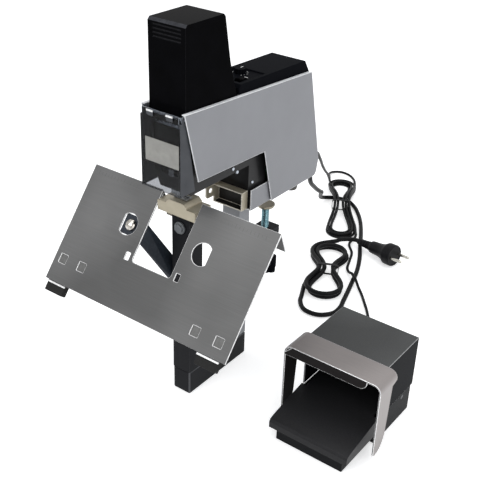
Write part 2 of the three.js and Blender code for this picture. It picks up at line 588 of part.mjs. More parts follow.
part('driver_blade', join(
  block(mirrored(DRIVER_HALF[0]), mirrored(DRIVER_HALF[1]),
    [DRIVER_BOTTOM, PLUNGER_BOTTOM - DRIVER_STROKE - SEAT]),
  block(mirrored(half(DRIVER_HALF[0])), mirrored(DRIVER_HALF[1]),
    [DRIVER_BOTTOM + DRIVER_STROKE, PLUNGER_BOTTOM - SEAT])),
brushedSteel, head);
part('solenoid_plunger', join(
  bar(PLUNGER_RADIUS, [0, 0, PLUNGER_BOTTOM], [0, 0, PLUNGER_TOP - half(PLUNGER_HEAD)]),
  bar(PLUNGER_HEAD_RADIUS, [0, 0, PLUNGER_TOP - PLUNGER_HEAD], [0, 0, PLUNGER_TOP])), zinc, head);
part('solenoid_coil', cut(
  bar(COIL_RADIUS, [0, 0, COIL_Z[0]], [0, 0, COIL_Z[1]], 32),
  bar(PLUNGER_RADIUS + SHEET, [0, 0, COIL_Z[0] - OVERRUN], [0, 0, COIL_Z[1] + OVERRUN], 24)), copper, head);
part('solenoid_yoke', cut(
  block(mirrored(YOKE_X), YOKE_Y, [YOKE_BOTTOM, YOKE_TOP]),
  block(mirrored(YOKE_X - YOKE_WALL), [YOKE_Y[0] - OVERRUN, YOKE_Y[1] + OVERRUN],
    [COIL_Z[0] - SEAT, COIL_Z[1] + SEAT]),
  bar(PLUNGER_RADIUS + SHEET, [0, 0, YOKE_BOTTOM - OVERRUN], [0, 0, YOKE_TOP + OVERRUN])), zinc, head);
part('plunger_return_spring', cut(
  bar(PLUNGER_HEAD_RADIUS, [0, 0, SPRING_Z[0]], [0, 0, SPRING_Z[1]], 20),
  bar(PLUNGER_RADIUS + SHEET, [0, 0, SPRING_Z[0] - OVERRUN], [0, 0, SPRING_Z[1] + OVERRUN], 20)),
zinc, head);

// Tower cover: the tall gloss shell over the solenoid, its back leaning away from the top
const TOWER_FRONT = -24.2;
const TOWER_BACK_TOP = 39.8;
const TOWER_BOTTOM = 96;
const TOWER_EDGE = 3;
const TOWER_FOOT_BACK = 66;
const TOWER_BACK_SHARES = [[0.32, 0.26], [0.62, 0.5]]; // of the lean, and of the height
const GROOVE_DEPTH = 0.8;
const GROOVE_WIDTH = 1.5;
const GROOVE_PITCH = 4.2;
const GROOVE_COUNT = 4;
const GROOVE_INSET = 6;
function towerOutline(inset) {
  const top = TOWER_HEIGHT - inset;
  const back = (share) => TOWER_FOOT_BACK - inset + (TOWER_BACK_TOP - TOWER_FOOT_BACK) * share;
  const height = (share) => TOWER_BOTTOM + (TOWER_HEIGHT - TOWER_BOTTOM) * share;
  const front = TOWER_FRONT + inset;
  return outline([
    [front, TOWER_BOTTOM], [TOWER_FOOT_BACK - inset, TOWER_BOTTOM],
    ...TOWER_BACK_SHARES.map(([lean, rise]) => [back(lean), height(rise)]),
    [back(1), top - TOWER_EDGE], [back(1) - TOWER_EDGE, top], [front + TOWER_EDGE, top],
    [front, top - TOWER_EDGE]]);
}
function towerCover() {
  const shell = cut(
    sideways(towerOutline(0), mirrored(half(TOWER_WIDTH))),
    sideways(towerOutline(TOWER_WALL), mirrored(half(TOWER_WIDTH) - TOWER_WALL)),
    block(mirrored(half(TOWER_WIDTH) - TOWER_WALL), [TOWER_FRONT + TOWER_WALL, TOWER_FOOT_BACK - TOWER_WALL],
      [TOWER_BOTTOM - OVERRUN, TOWER_BOTTOM + SHEET]));
  const grooves = Array.from({ length: GROOVE_COUNT }, (_, row) => {
    const z = TOWER_HEIGHT - GROOVE_INSET - row * GROOVE_PITCH;
    return block(mirrored(half(TOWER_WIDTH) - GROOVE_INSET),
      [TOWER_FRONT - OVERRUN, TOWER_FRONT + GROOVE_DEPTH], [z - half(GROOVE_WIDTH), z + half(GROOVE_WIDTH)]);
  });
  return cut(shell, ...grooves);
}
part('tower_cover', towerCover(), glossBlack, head);

// Rear cover between the panels, with the control plate let into its front
const COVER_GAP = 0.5;
const COVER_BACK = 209;
const COVER_TOP = 118;
const COVER_SHARES = [[0, 0], [0.979, 0], [1, 0.321], [0.93, 0.871], [0.027, 1], [0, 0.857]];
const coverFront = TOWER_FOOT_BACK + COVER_GAP;
const coverSide = inBox(COVER_SHARES, [coverFront, COVER_BACK], [ARM_TOP + COVER_GAP, COVER_TOP]);
const PLATE_INSET = 6;
const PLATE_HALF = half(TOWER_WIDTH) - PLATE_INSET;
const PLATE_Y = [76, 122];
const PLATE_THICKNESS = 1.5;
const [rearEdge, foreEdge] = [coverSide[3], coverSide[4]];
const coverFall = (foreEdge[1] - rearEdge[1]) / (rearEdge[0] - foreEdge[0]);
const PLATE_TOP = foreEdge[1] - (PLATE_Y[1] - foreEdge[0]) * coverFall - SHEET;
const KNOB_PLACE = [-6, 109];
const KNOB_RADIUS = 7;
const KNOB_HEIGHT = 6;
const KNOB_FLUTES = 12;
const KNOB_FLUTE_RADIUS = 0.9;
const ROCKER_PLACE = [9, 90];
const ROCKER_HALF = [4, 7];
const PLATE_FLOOR = PLATE_TOP - PLATE_THICKNESS - SEAT;
const aroundRocker = [0, 1].map((axis) =>
  mirrored(ROCKER_HALF[axis] + SEAT).map((reach) => ROCKER_PLACE[axis] + reach));
const rockerHole = (z) => block(...aroundRocker, [z - OVERRUN, z + OVERRUN]);
part('rear_cover', cut(
  sideways(outline(coverSide), mirrored(half(TOWER_WIDTH))),
  block(mirrored(PLATE_HALF + SEAT), [PLATE_Y[0] - SEAT, PLATE_Y[1] + SEAT],
    [PLATE_FLOOR, PLATE_TOP + 2 * OVERRUN]),
  block(mirrored(half(TOWER_WIDTH) - TOWER_WALL), [coverFront + TOWER_WALL, rearEdge[0] - TOWER_WALL],
    [ARM_TOP - OVERRUN, PLATE_FLOOR - TOWER_WALL]),
  rockerHole(PLATE_FLOOR)), mattBlack, head);
part('control_plate', cut(
  block(mirrored(PLATE_HALF), PLATE_Y, [PLATE_FLOOR + SEAT, PLATE_TOP]),
  rockerHole(PLATE_TOP)), blackPaint, head);
const knobFlutes = Array.from({ length: KNOB_FLUTES }, (_, index) => {
  const angle = (index / KNOB_FLUTES) * 2 * Math.PI;
  const x = KNOB_PLACE[0] + KNOB_RADIUS * Math.cos(angle);
  const y = KNOB_PLACE[1] + KNOB_RADIUS * Math.sin(angle);
  return bar(KNOB_FLUTE_RADIUS, [x, y, PLATE_TOP], [x, y, PLATE_TOP + 2 * KNOB_HEIGHT], 6);
});
part('force_knob', cut(
  bar(KNOB_RADIUS, [...KNOB_PLACE, PLATE_TOP + SEAT], [...KNOB_PLACE, PLATE_TOP + KNOB_HEIGHT], 32),
  ...knobFlutes),
whitePlastic, head);
const ROCKER_RISE = 2.2;
const ROCKER_DROP = 3;
const ROCKER_TILT = THREE.MathUtils.degToRad(6); // it rests pressed at the front, the off position
const rockerReach = ROCKER_HALF[1] - 2 * SEAT;
const rockerX = [ROCKER_PLACE[0] - ROCKER_HALF[0] + SEAT, ROCKER_PLACE[0] + ROCKER_HALF[0] - SEAT];
part('power_rocker', sideways(outline([
  [-rockerReach, 0], [0, -half(ROCKER_DROP)], [rockerReach, 0],
  [rockerReach, ROCKER_RISE + half(ROCKER_DROP)], [0, half(ROCKER_RISE) + half(ROCKER_DROP)],
  [-rockerReach, ROCKER_RISE + half(ROCKER_DROP)]]), rockerX)
  .rotateX(-ROCKER_TILT).translate(0, ROCKER_PLACE[1], PLATE_TOP - half(ROCKER_DROP)), redPlastic, head);

// Clear finger guard, hung on a rod across the front of the panels
const GUARD_ROD_Y = -28.5;
const GUARD_ROD_Z = 106;
const GUARD_ROD_RADIUS = 1.5;
const GUARD_FRONT = -36;
const GUARD_WALL = 1.5;
const PANEL_TO_GUARD = 1.2;
const GUARD_HALF = panelInner - PANEL_TO_GUARD;
const GUARD_Z = [20, 111];
const GUARD_SIDE_TOP_Y = -24.5;
const GUARD_SIDE_FOOT_Y = -12;
const GUARD_EYE_RADIUS = 5;
const GUARD_SHOULDER_Z = 103;
const guardBore = (radius, reach) =>
  bar(radius, [-reach, GUARD_ROD_Y, GUARD_ROD_Z], [reach, GUARD_ROD_Y, GUARD_ROD_Z], 16);
part('guard_rod', guardBore(GUARD_ROD_RADIUS, panelInner - SEAT), zinc, head);
const guardSide = outline([
  [GUARD_FRONT, GUARD_Z[1]], [GUARD_FRONT, GUARD_Z[0]], [GUARD_SIDE_FOOT_Y, GUARD_Z[0]],
  [GUARD_SIDE_TOP_Y, GUARD_ROD_Z - OVERRUN], [GUARD_SIDE_TOP_Y, GUARD_Z[1]]]);
// Above its shoulders only an eye around the rod is left beside the panels' flanges.
const flangeInner = half(HOUSING_WIDTH) - TOP_FLANGE;
const guardShoulder = (side) => cut(
  block(sorted(side * (flangeInner - SEAT), side * (GUARD_HALF + OVERRUN)),
    [GUARD_FRONT - OVERRUN, GUARD_SIDE_FOOT_Y], [GUARD_SHOULDER_Z, GUARD_Z[1] + OVERRUN]),
  guardBore(GUARD_EYE_RADIUS, half(HOUSING_WIDTH)));
part('front_guard', cut(
  sideways(guardSide, mirrored(GUARD_HALF)),
  ...bothSides.map(guardShoulder),
  block(mirrored(GUARD_HALF - GUARD_WALL), [GUARD_FRONT + GUARD_WALL, GUARD_SIDE_FOOT_Y + OVERRUN],
    [GUARD_Z[0] - OVERRUN, GUARD_Z[1] + OVERRUN]),
  guardBore(GUARD_ROD_RADIUS + PIN_CLEARANCE, GUARD_HALF + OVERRUN)), clearPlastic, head);
const TAB_X = 13.5;
const TAB_HALF = 4.5;
const TAB_Z = [104, 110];
for (const [word, side] of [['left', -1], ['right', 1]]) {
  part(`guard_tab_${word}`, block([side * TAB_X - TAB_HALF, side * TAB_X + TAB_HALF],
    [GUARD_FRONT - SEAT - half(SHEET), GUARD_FRONT - SEAT], TAB_Z), nickel, head);
}

// Rubber feet, clamp arm, clamp screw, knob and pad under the rear overhang
const FOOT_RADIUS = 10;
const FOOT_HEIGHT = 10;
const FOOT_INSET = 11;
const FOOT_Y = 196;
for (const [word, side] of [['left', -1], ['right', 1]]) {
  part(`rubber_foot_${word}`, turned([
    [0, CHASSIS_BOTTOM - SEAT - FOOT_HEIGHT], [FOOT_RADIUS - SHEET, CHASSIS_BOTTOM - SEAT - FOOT_HEIGHT],
    [FOOT_RADIUS, CHASSIS_BOTTOM - SEAT], [0, CHASSIS_BOTTOM - SEAT]],
  [side * (half(CHASSIS_WIDTH) - FOOT_INSET), FOOT_Y], 24), rubber, head);
}

const CLAMP_ARM_Z = [-118, -106];
const CLAMP_ARM_BEYOND = 15;
const CLAMP_LEG_TOP = -84;
const CLAMP_ARM_WALL = 8;
part('clamp_arm', cut(
  join(
    block(frameX, [POST_BACK + SEAT, CLAMP_Y + CLAMP_ARM_BEYOND], CLAMP_ARM_Z),
    block(frameX, [POST_BACK + SEAT, POST_BACK + SEAT + CLAMP_ARM_WALL], [CLAMP_ARM_Z[0], CLAMP_LEG_TOP])),
  bar(half(CLAMP_SCREW_DIAMETER) + PIN_CLEARANCE, [0, CLAMP_Y, CLAMP_ARM_Z[0] - OVERRUN],
    [0, CLAMP_Y, CLAMP_ARM_Z[1] + OVERRUN])), blackPaint, head);
const CLAMP_PAD_TOP = -73;
const CLAMP_PAD_THICKNESS = 4;
const CLAMP_PAD_RADIUS = 12;
const CLAMP_KNOB_Z = [-170, -154];
const CLAMP_KNOB_RADIUS = 19;
const CLAMP_KNOB_LOBES = 6;
part('clamp_pad', turned([
  [0, CLAMP_PAD_TOP - CLAMP_PAD_THICKNESS], [CLAMP_PAD_RADIUS - SHEET, CLAMP_PAD_TOP - CLAMP_PAD_THICKNESS],
  [CLAMP_PAD_RADIUS, CLAMP_PAD_TOP - half(CLAMP_PAD_THICKNESS)], [CLAMP_PAD_RADIUS, CLAMP_PAD_TOP],
  [0, CLAMP_PAD_TOP]],
[0, CLAMP_Y]), nickel, head);
part('clamp_screw', bar(half(CLAMP_SCREW_DIAMETER), [0, CLAMP_Y, CLAMP_KNOB_Z[1] + SEAT],
  [0, CLAMP_Y, CLAMP_PAD_TOP - CLAMP_PAD_THICKNESS - SEAT], 24), zinc, head);
const LOBE_SHARE = 0.28; // the lobes' own radius, of the knob's
const KNOB_CORE_SHARE = 0.8;
function starKnob() {
  const lobeAngle = 2 * Math.PI / CLAMP_KNOB_LOBES;
  const lobeRing = CLAMP_KNOB_RADIUS * (1 - LOBE_SHARE);
  const upright = (x, y, radius, sides) =>
    bar(radius, [x, y, CLAMP_KNOB_Z[0]], [x, y, CLAMP_KNOB_Z[1]], sides);
  const lobes = Array.from({ length: CLAMP_KNOB_LOBES }, (_, index) => upright(
    lobeRing * Math.cos(index * lobeAngle), CLAMP_Y + lobeRing * Math.sin(index * lobeAngle),
    CLAMP_KNOB_RADIUS * LOBE_SHARE, 14));
  return join(upright(0, CLAMP_Y, CLAMP_KNOB_RADIUS * KNOB_CORE_SHARE, 24), ...lobes);
}
part('clamp_knob', starKnob(), mattBlack, head);

// Control board on its spacers in the chassis tray
const BOARD_INSET = 4.5;
const BOARD_X = mirrored(half(CHASSIS_WIDTH) - SHEET - BOARD_INSET);
const BOARD_Y = [136, 222];
const BOARD_Z = -36;
const SPACER_RADIUS = 3;
const boardSpacers = [BOARD_X[0] + OVERRUN, BOARD_X[1] - OVERRUN].flatMap((x) =>
  [BOARD_Y[0] + OVERRUN, BOARD_Y[1] - OVERRUN].map((y) =>
    bar(SPACER_RADIUS, [x, y, CHASSIS_BOTTOM + SHEET + SEAT], [x, y, BOARD_Z + half(SHEET)], 10)));
part('control_board', join(
  block(BOARD_X, BOARD_Y, [BOARD_Z, BOARD_Z + SHEET]), ...boardSpacers), boardGreen, head);

// Foot pedal
const pedal = new THREE.Group();
pedal.position.x = PEDAL_X;
machine.add(pedal);
const HOOD_FRONT = 63;
const HOOD_WALL = 2;
const PAN_INSET = 8;
const PAN_HALF = half(PEDAL_WIDTH) - PAN_INSET;
const PAN_FRONT = -2;
const PAN_HEIGHT = 16;
const PAN_REAR_HALF = half(PEDAL_WIDTH) - HOOD_WALL;
const PAN_REAR_HEIGHT = 38.7;
const PAN_WALL = 2;
const PEDAL_PIN_Y = 126;
const PEDAL_PIN_Z = 30;
const PEDAL_PIN_RADIUS = 3;
const pedalPin = (radius, reach, sides = 20) =>
  bar(radius, [-reach, PEDAL_PIN_Y, PEDAL_PIN_Z], [reach, PEDAL_PIN_Y, PEDAL_PIN_Z], sides);
part('pedal_pan', cut(
  join(
    block(mirrored(PAN_HALF), [PAN_FRONT, PEDAL_BACK], [0, PAN_HEIGHT]),
    block(mirrored(PAN_REAR_HALF), [HOOD_FRONT, PEDAL_BACK], [0, PAN_REAR_HEIGHT])),
  block(mirrored(PAN_REAR_HALF - PAN_WALL), [HOOD_FRONT - OVERRUN, PEDAL_BACK - PAN_WALL],
    [PAN_HEIGHT, PAN_REAR_HEIGHT + OVERRUN]),
  pedalPin(PEDAL_PIN_RADIUS + PIN_CLEARANCE, PAN_REAR_HALF + OVERRUN)), mattBlack, pedal);
part('pedal_hood', cut(
  block(mirrored(half(PEDAL_WIDTH)), [HOOD_FRONT, PEDAL_BACK], [PAN_REAR_HEIGHT + SEAT, PEDAL_HEIGHT]),
  block(mirrored(half(PEDAL_WIDTH) - HOOD_WALL), [HOOD_FRONT - OVERRUN, PEDAL_BACK - HOOD_WALL],
    [PAN_REAR_HEIGHT - OVERRUN, PEDAL_HEIGHT - HOOD_WALL])), mattBlack, pedal);

// Treadle: a hollow cap over the front of the pan, hinged at the back inside the hood
const TREADLE_WALL = 2.5;
const TREADLE_SKIRT = 17;
const TREADLE_TAIL = [112, 47]; // where the plate ends over the pin, and its height there
const TREADLE_TO_PAN = 5;
const TREADLE_TO_HOOD = 2;
const TREADLE_REAR_HALF = PAN_REAR_HALF - TREADLE_TO_PAN;
const TREADLE_STEP = HOOD_FRONT - TREADLE_TO_HOOD;
const TREADLE_SHARES = [[0, 0.267], [0.017, 0.383], [0.076, 0.45], [0.429, 0.7], [0.765, 0.9], [1, 1]];
const TREADLE_EAR_RADIUS = 6.5;
function treadle() {
  const top = inBox(TREADLE_SHARES, [PEDAL_FRONT, TREADLE_TAIL[0]], [TREADLE_SKIRT, TREADLE_TAIL[1]]);
  const [, nose, rise, bend, shoulder, tail] = top;
  const bendShare = (TREADLE_STEP - bend[0]) / (shoulder[0] - bend[0]);
  const step = [TREADLE_STEP, THREE.MathUtils.lerp(bend[1], shoulder[1], bendShare)];
  const lowered = ([y, z], by = TREADLE_WALL) => [y, z - by];
  const capSide = outline([
    [TREADLE_STEP, TREADLE_SKIRT], step, bend, rise, nose, top[0], [PEDAL_FRONT, TREADLE_SKIRT]]);
  const hollow = outline([
    [PEDAL_FRONT + TREADLE_WALL, TREADLE_SKIRT - OVERRUN], [TREADLE_STEP + OVERRUN, TREADLE_SKIRT - OVERRUN],
    [TREADLE_STEP + OVERRUN, lowered(step)[1]], lowered(bend), lowered(rise),
    [PEDAL_FRONT + TREADLE_WALL, lowered(nose)[1]]]);
  const cap = cut(sideways(capSide, mirrored(half(PEDAL_WIDTH))),
    sideways(hollow, mirrored(half(PEDAL_WIDTH) - TREADLE_WALL)));
  const plate = sideways(outline([
    lowered(bend), lowered(shoulder), lowered(tail), tail, shoulder, bend]), mirrored(TREADLE_REAR_HALF));
  const ears = bothSides.map((side) => {
    const across = sorted(side * TREADLE_REAR_HALF, side * (TREADLE_REAR_HALF - TREADLE_WALL));
    return join(
      sideways(outline([
        lowered(shoulder, half(TREADLE_WALL)), [PEDAL_PIN_Y - TREADLE_EAR_RADIUS, PEDAL_PIN_Z],
        [PEDAL_PIN_Y + TREADLE_EAR_RADIUS, PEDAL_PIN_Z], lowered(tail, half(TREADLE_WALL))]), across),
      bar(TREADLE_EAR_RADIUS, [across[0], PEDAL_PIN_Y, PEDAL_PIN_Z], [across[1], PEDAL_PIN_Y, PEDAL_PIN_Z]));
  });
  return cut(join(cap, plate, ...ears), pedalPin(PEDAL_PIN_RADIUS + PIN_CLEARANCE, half(PEDAL_WIDTH)));
}
part('treadle', treadle(), mattBlack, pedal);
part('treadle_pin', pedalPin(PEDAL_PIN_RADIUS, PAN_REAR_HALF), zinc, pedal);
const SPRING_HALF = 12;
part('treadle_spring', cut(pedalPin(PEDAL_PIN_RADIUS + 2 * PAN_WALL, SPRING_HALF),
  pedalPin(PEDAL_PIN_RADIUS + PIN_CLEARANCE, SPRING_HALF + OVERRUN)), zinc, pedal);
const SWITCH_X = [-10, 10];
const SWITCH_Y = [74, 98];
const SWITCH_Z = [PAN_HEIGHT + SEAT, 34];
const SWITCH_BUTTON = 4;
const SWITCH_BUTTON_RISE = 3.8;
part('pedal_switch', join(block(SWITCH_X, SWITCH_Y, SWITCH_Z),
  bar(SWITCH_BUTTON, [0, SWITCH_Y[0] + 2 * SWITCH_BUTTON, half(SWITCH_Z[0] + SWITCH_Z[1])],
    [0, SWITCH_Y[0] + 2 * SWITCH_BUTTON, SWITCH_Z[1] + SWITCH_BUTTON_RISE], 16)), redPlastic, pedal);

// Steel guard strap over the pedal: a bridge on the hood with two tapered legs and a hanging lip
const STRAP_BESIDE = [9.5, 13]; // how far the strap stands off the hood, left and right
const STRAP_X = [-half(PEDAL_WIDTH) - STRAP_BESIDE[0], half(PEDAL_WIDTH) + STRAP_BESIDE[1]];
const STRAP_TOP = PEDAL_HEIGHT + SEAT + HOOD_WALL;
const STRAP_WALL = 2;
const STRAP_CORNER = 10;
const STRAP_FRONT = 31;
const STRAP_LEG_BACK = 60;
const STRAP_BACK = 70;
const STRAP_FOOT = 10;
const LIP_HANG = 11;
const LIP_BOTTOM = PEDAL_HEIGHT - LIP_HANG;
const LIP_SHORT = 5;
const LIP_RIGHT = half(PEDAL_WIDTH) - LIP_SHORT;
function pedalGuard() {
  const outer = roundedRectangle(STRAP_X, [-3 * STRAP_CORNER, STRAP_TOP], STRAP_CORNER);
  const inner = roundedRectangle([STRAP_X[0] + STRAP_WALL, STRAP_X[1] - STRAP_WALL],
    [-3 * STRAP_CORNER + STRAP_WALL, STRAP_TOP - STRAP_WALL], STRAP_CORNER - STRAP_WALL);
  const hoop = cut(lengthways(outer, [STRAP_FRONT, STRAP_BACK], 4),
    lengthways(inner, [STRAP_FRONT - OVERRUN, STRAP_BACK + OVERRUN], 4),
    block([STRAP_X[0] - OVERRUN, STRAP_X[1] + OVERRUN], [STRAP_FRONT - OVERRUN, STRAP_BACK + OVERRUN],
      [-4 * STRAP_CORNER, 0]));
  const taper = new THREE.Shape();
  taper.moveTo(STRAP_BACK + OVERRUN, -OVERRUN);
  taper.lineTo(STRAP_BACK + OVERRUN, STRAP_TOP - STRAP_CORNER);
  taper.lineTo(STRAP_LEG_BACK, STRAP_TOP - STRAP_CORNER - OVERRUN);
  taper.lineTo(STRAP_LEG_BACK - OVERRUN, 3 * STRAP_FOOT);
  taper.quadraticCurveTo(STRAP_LEG_BACK - 2 * OVERRUN, STRAP_FOOT, STRAP_FRONT + OVERRUN, STRAP_FOOT);
  taper.quadraticCurveTo(STRAP_FRONT, STRAP_FOOT, STRAP_FRONT - SEAT, STRAP_FOOT + OVERRUN);
  taper.lineTo(STRAP_FRONT - OVERRUN, -OVERRUN);
  const lip = new THREE.Shape();
  lip.moveTo(STRAP_X[0] + STRAP_CORNER, STRAP_TOP - half(STRAP_WALL));
  lip.lineTo(STRAP_X[0] + half(STRAP_WALL), STRAP_TOP - STRAP_CORNER);
  lip.lineTo(STRAP_X[0] + half(STRAP_WALL), LIP_BOTTOM);
  lip.lineTo(LIP_RIGHT - STRAP_CORNER, LIP_BOTTOM);
  lip.absarc(LIP_RIGHT - STRAP_CORNER, LIP_BOTTOM + STRAP_CORNER, STRAP_CORNER, -Math.PI / 2, 0);
  lip.lineTo(LIP_RIGHT, STRAP_TOP - half(STRAP_WALL));
  return join(
    cut(hoop, sideways(taper, [STRAP_X[0] - OVERRUN, STRAP_X[1] + OVERRUN], 6)),
    lengthways(lip, [STRAP_FRONT, STRAP_FRONT + STRAP_WALL], 4));
}
part('pedal_guard', pedalGuard(), brushedSteel, pedal);
const PEDAL_GLAND = [-22, 12];
part('pedal_strain_relief', strainRelief([PEDAL_GLAND[0], PEDAL_BACK + SEAT + GLAND_IN, PEDAL_GLAND[1]],
  LEAD_GLAND_RADIUS, half(PEDAL_LEAD_DIAMETER)), rubber, pedal);

// Leads: routes chosen by hand, points on the middle line of each lead, from the floor up
const MAINS_SIDES = 10;
const LEAD_SIDES = 8;
const MAINS_STEPS = 26;
const MAINS_END_STEPS = 4;
const LEAD_STEPS = 22;
const LEAD_END_STEPS = 28;
const MAINS_ROUTE = [
  [-8, 253.6, 236], [-8, 263, 236], [-13, 288, 212], [-30, 320, 168], [-58, 380, 126], [-84, 440, 88],
  [-110, 492, 58], [-128, 520, 38], [-142, 545, 18], [-146, 566, 8], [-134, 584, 4], [-112, 588, 4],
  [-90, 576, 4], [-70, 556, 4], [-50, 530, 4], [-28, 494, 4], [-10, 460, 4], [6, 432, 4], [18, 408, 4],
  [29, 382, 4], [38, 354, 4], [47, 326, 4], [55, 300, 4], [60.6, 281, 4], [60.3, 261.7, 4], [45.5, 244.7, 4],
  [22.9, 243.3, 4], [5.9, 258.1, 4]];
const LEAD_ROUTE = [
  [12, 253.6, 243], [12, 261, 243], [-3, 298, 217], [-31, 353, 180], [-74, 435, 130], [-117, 519, 80],
  [-149, 581, 40], [-168, 617, 16], [-184, 642, 12], [-196, 662, 6], [-198, 678, 3.2], [-186, 689, 2.7],
  [-168, 688, 2.7], [-150, 676, 2.7]];
const LEAD_END_ROUTE = [
  [-28, 456, 2.7], [-9.4, 432.4, 2.7], [1, 408, 2.7], [10, 386.2, 2.7], [20, 374, 5], [30, 365, 10.5],
  [37, 358.5, 11.3],
  [44, 353, 10.5], [54, 345, 5], [66, 334, 2.9], [80, 318, 2.7], [98, 296, 2.7], [122, 260, 2.7],
  [146, 214, 4], [163, 188, 10], [168, 175, 12], [168, 167.6, 12]];

const smoothLine = (points) => new THREE.CatmullRomCurve3(
  points.map((point) => new THREE.Vector3(...point)), false, 'centripetal');

function tube(points, radius, sides, steps) {
  const section = new THREE.Shape(Array.from({ length: sides }, (_, index) => {
    const angle = (index / sides) * 2 * Math.PI;
    return new THREE.Vector2(radius * Math.cos(angle), radius * Math.sin(angle));
  }));
  const path = smoothLine(points);
  return new THREE.ExtrudeGeometry(section, { steps, extrudePath: path, bevelEnabled: false });
}

// The middle line of a hank: stadium loops that spiral in and, a layer up, out again. Its own X
// runs along it, Y to its left. It starts on the left at -X and ends on the left or round the end.
const LOOP_STEPS = 24;
const HANK_SIDES = 6;
const QUARTERS = 4;
const TINY = 1e-9; // keeps whole quarters from rounding down
function hankPoint(hank, turn) {
  const quarter = Math.floor(turn * QUARTERS + TINY);
  const along = turn * QUARTERS - quarter;
  const halfWidth = hank.innerHalf + hank.step * Math.abs(turn - half(hank.turns));
  const facing = quarter % QUARTERS < 2 ? 1 : -1;
  const onRun = quarter % 2 === 0;
  const angle = along * Math.PI;
  const x = onRun ? hank.halfRun * (2 * along - 1) : hank.halfRun + halfWidth * Math.sin(angle);
  const drawn = onRun ? half(hank.waist) * (1 + Math.cos(Math.PI * x / hank.halfRun)) : 0;
  const y = onRun ? halfWidth - drawn : halfWidth * Math.cos(angle);
  const climbStart = Math.floor(half(hank.turns) * QUARTERS) / QUARTERS;
  const climb = THREE.MathUtils.smoothstep(turn, climbStart, climbStart + 1 / QUARTERS);
  const fromHump = Math.min(1, Math.abs(facing * x - hank.liftAt) / hank.liftReach);
  const hump = hank.lift * half(1 + Math.cos(Math.PI * fromHump));
  return new THREE.Vector3(facing * x, facing * y, hank.radius + hank.ground + hank.layer * climb + hump);
}

function hankLine(hank) {
  const count = Math.round(hank.turns * LOOP_STEPS);
  const line = Array.from({ length: count + 1 }, (_, index) => hankPoint(hank, index / LOOP_STEPS));
  const straight = 2 * hank.radius;
  const first = line[0].clone().add(new THREE.Vector3(-straight, 0, 0));
  const endAngle = (hank.turns * QUARTERS - Math.floor(hank.turns * QUARTERS + TINY)) * Math.PI;
  const last = line[count].clone().add(
    new THREE.Vector3(Math.cos(endAngle), -Math.sin(endAngle), 0).multiplyScalar(straight));
  const heading = Math.atan2(hank.axis[1], hank.axis[0]);
  return [first, ...line, last].map((point) => {
    point.applyAxisAngle(new THREE.Vector3(0, 0, 1), heading);
    return point.add(new THREE.Vector3(...hank.centre, 0));
  });
}

function tubeRings(line, radius, sides) {
  let across = new THREE.Vector3(0, 0, 1);
  return line.map((point, index) => {
    const before = line[Math.max(0, index - 1)];
    const after = line[Math.min(line.length - 1, index + 1)];
    const ahead = after.clone().sub(before).normalize();
    across = across.sub(ahead.clone().multiplyScalar(across.dot(ahead))).normalize();
    const other = new THREE.Vector3().crossVectors(ahead, across);
    return Array.from({ length: sides }, (_, corner) => {
      const angle = (corner / sides) * 2 * Math.PI;
      return point.clone().addScaledVector(across, radius * Math.cos(angle))
        .addScaledVector(other, radius * Math.sin(angle)).toArray();
    });
  });
}

// The least distance between two stretches of one line that lie more than a fold apart along it.
function leastSelfGap(line, radius, fold) {
  const lengths = [0];
  line.slice(1).forEach((point, index) => lengths.push(lengths[index] + point.distanceTo(line[index])));
  let least = Infinity;
  for (let one = 0; one + 1 < line.length; one += 1) {
    for (let other = one + 1; other + 1 < line.length; other += 1) {
      if (lengths[other] - lengths[one + 1] > fold) {
        least = Math.min(least, segmentDistance(line[one], line[one + 1], line[other], line[other + 1]));
      }
    }
  }
  return least - 2 * radius;
}

function segmentDistance(a, b, c, d) {
  const shares = [0, 0.25, 0.5, 0.75, 1];
  const other = new THREE.Line3(c, d);
  const nearest = new THREE.Vector3();
  return Math.min(...shares.map((share) => {
    const point = a.clone().lerp(b, share);
    return other.closestPointToPoint(point, true, nearest).distanceTo(point);
  }));
}
const lineLength = (line) =>
  line.slice(1).reduce((sum, point, index) => sum + point.distanceTo(line[index]), 0);

const STRAND_GAP = 0.5;
const TIE_WALL = 1.2;
const mainsHank = {
  centre: [-8, 355], axis: [-0.443, 0.897], halfRun: 50, innerHalf: 21, step: 8.1, turns: 2 + 1 / 3,
  waist: 11, layer: MAINS_DIAMETER + STRAND_GAP, radius: half(MAINS_DIAMETER), ground: SEAT,
  lift: 2 * TIE_WALL, liftAt: 0, liftReach: 50 };
const leadHank = {
  centre: [-106, 556.5], axis: [0.512, -0.859], halfRun: 84, innerHalf: 14, step: 5.3, turns: 4.25,
  waist: 9, layer: PEDAL_LEAD_DIAMETER + STRAND_GAP, radius: half(PEDAL_LEAD_DIAMETER), ground: SEAT,
  lift: 11, liftAt: -20, liftReach: 80 };
const hankLines = { mains_hank: [mainsHank, hankLine(mainsHank)], lead_hank: [leadHank, hankLine(leadHank)] };
for (const [name, [hank, line]] of Object.entries(hankLines)) {
  part(name, loft(tubeRings(line, hank.radius, HANK_SIDES)), rubber);
  const gap = leastSelfGap(line, hank.radius, 2 * hank.innerHalf);
  console.log(`${name}: least gap to itself ${gap.toFixed(2)} mm, length ${lineLength(line).toFixed(0)} mm`);
}

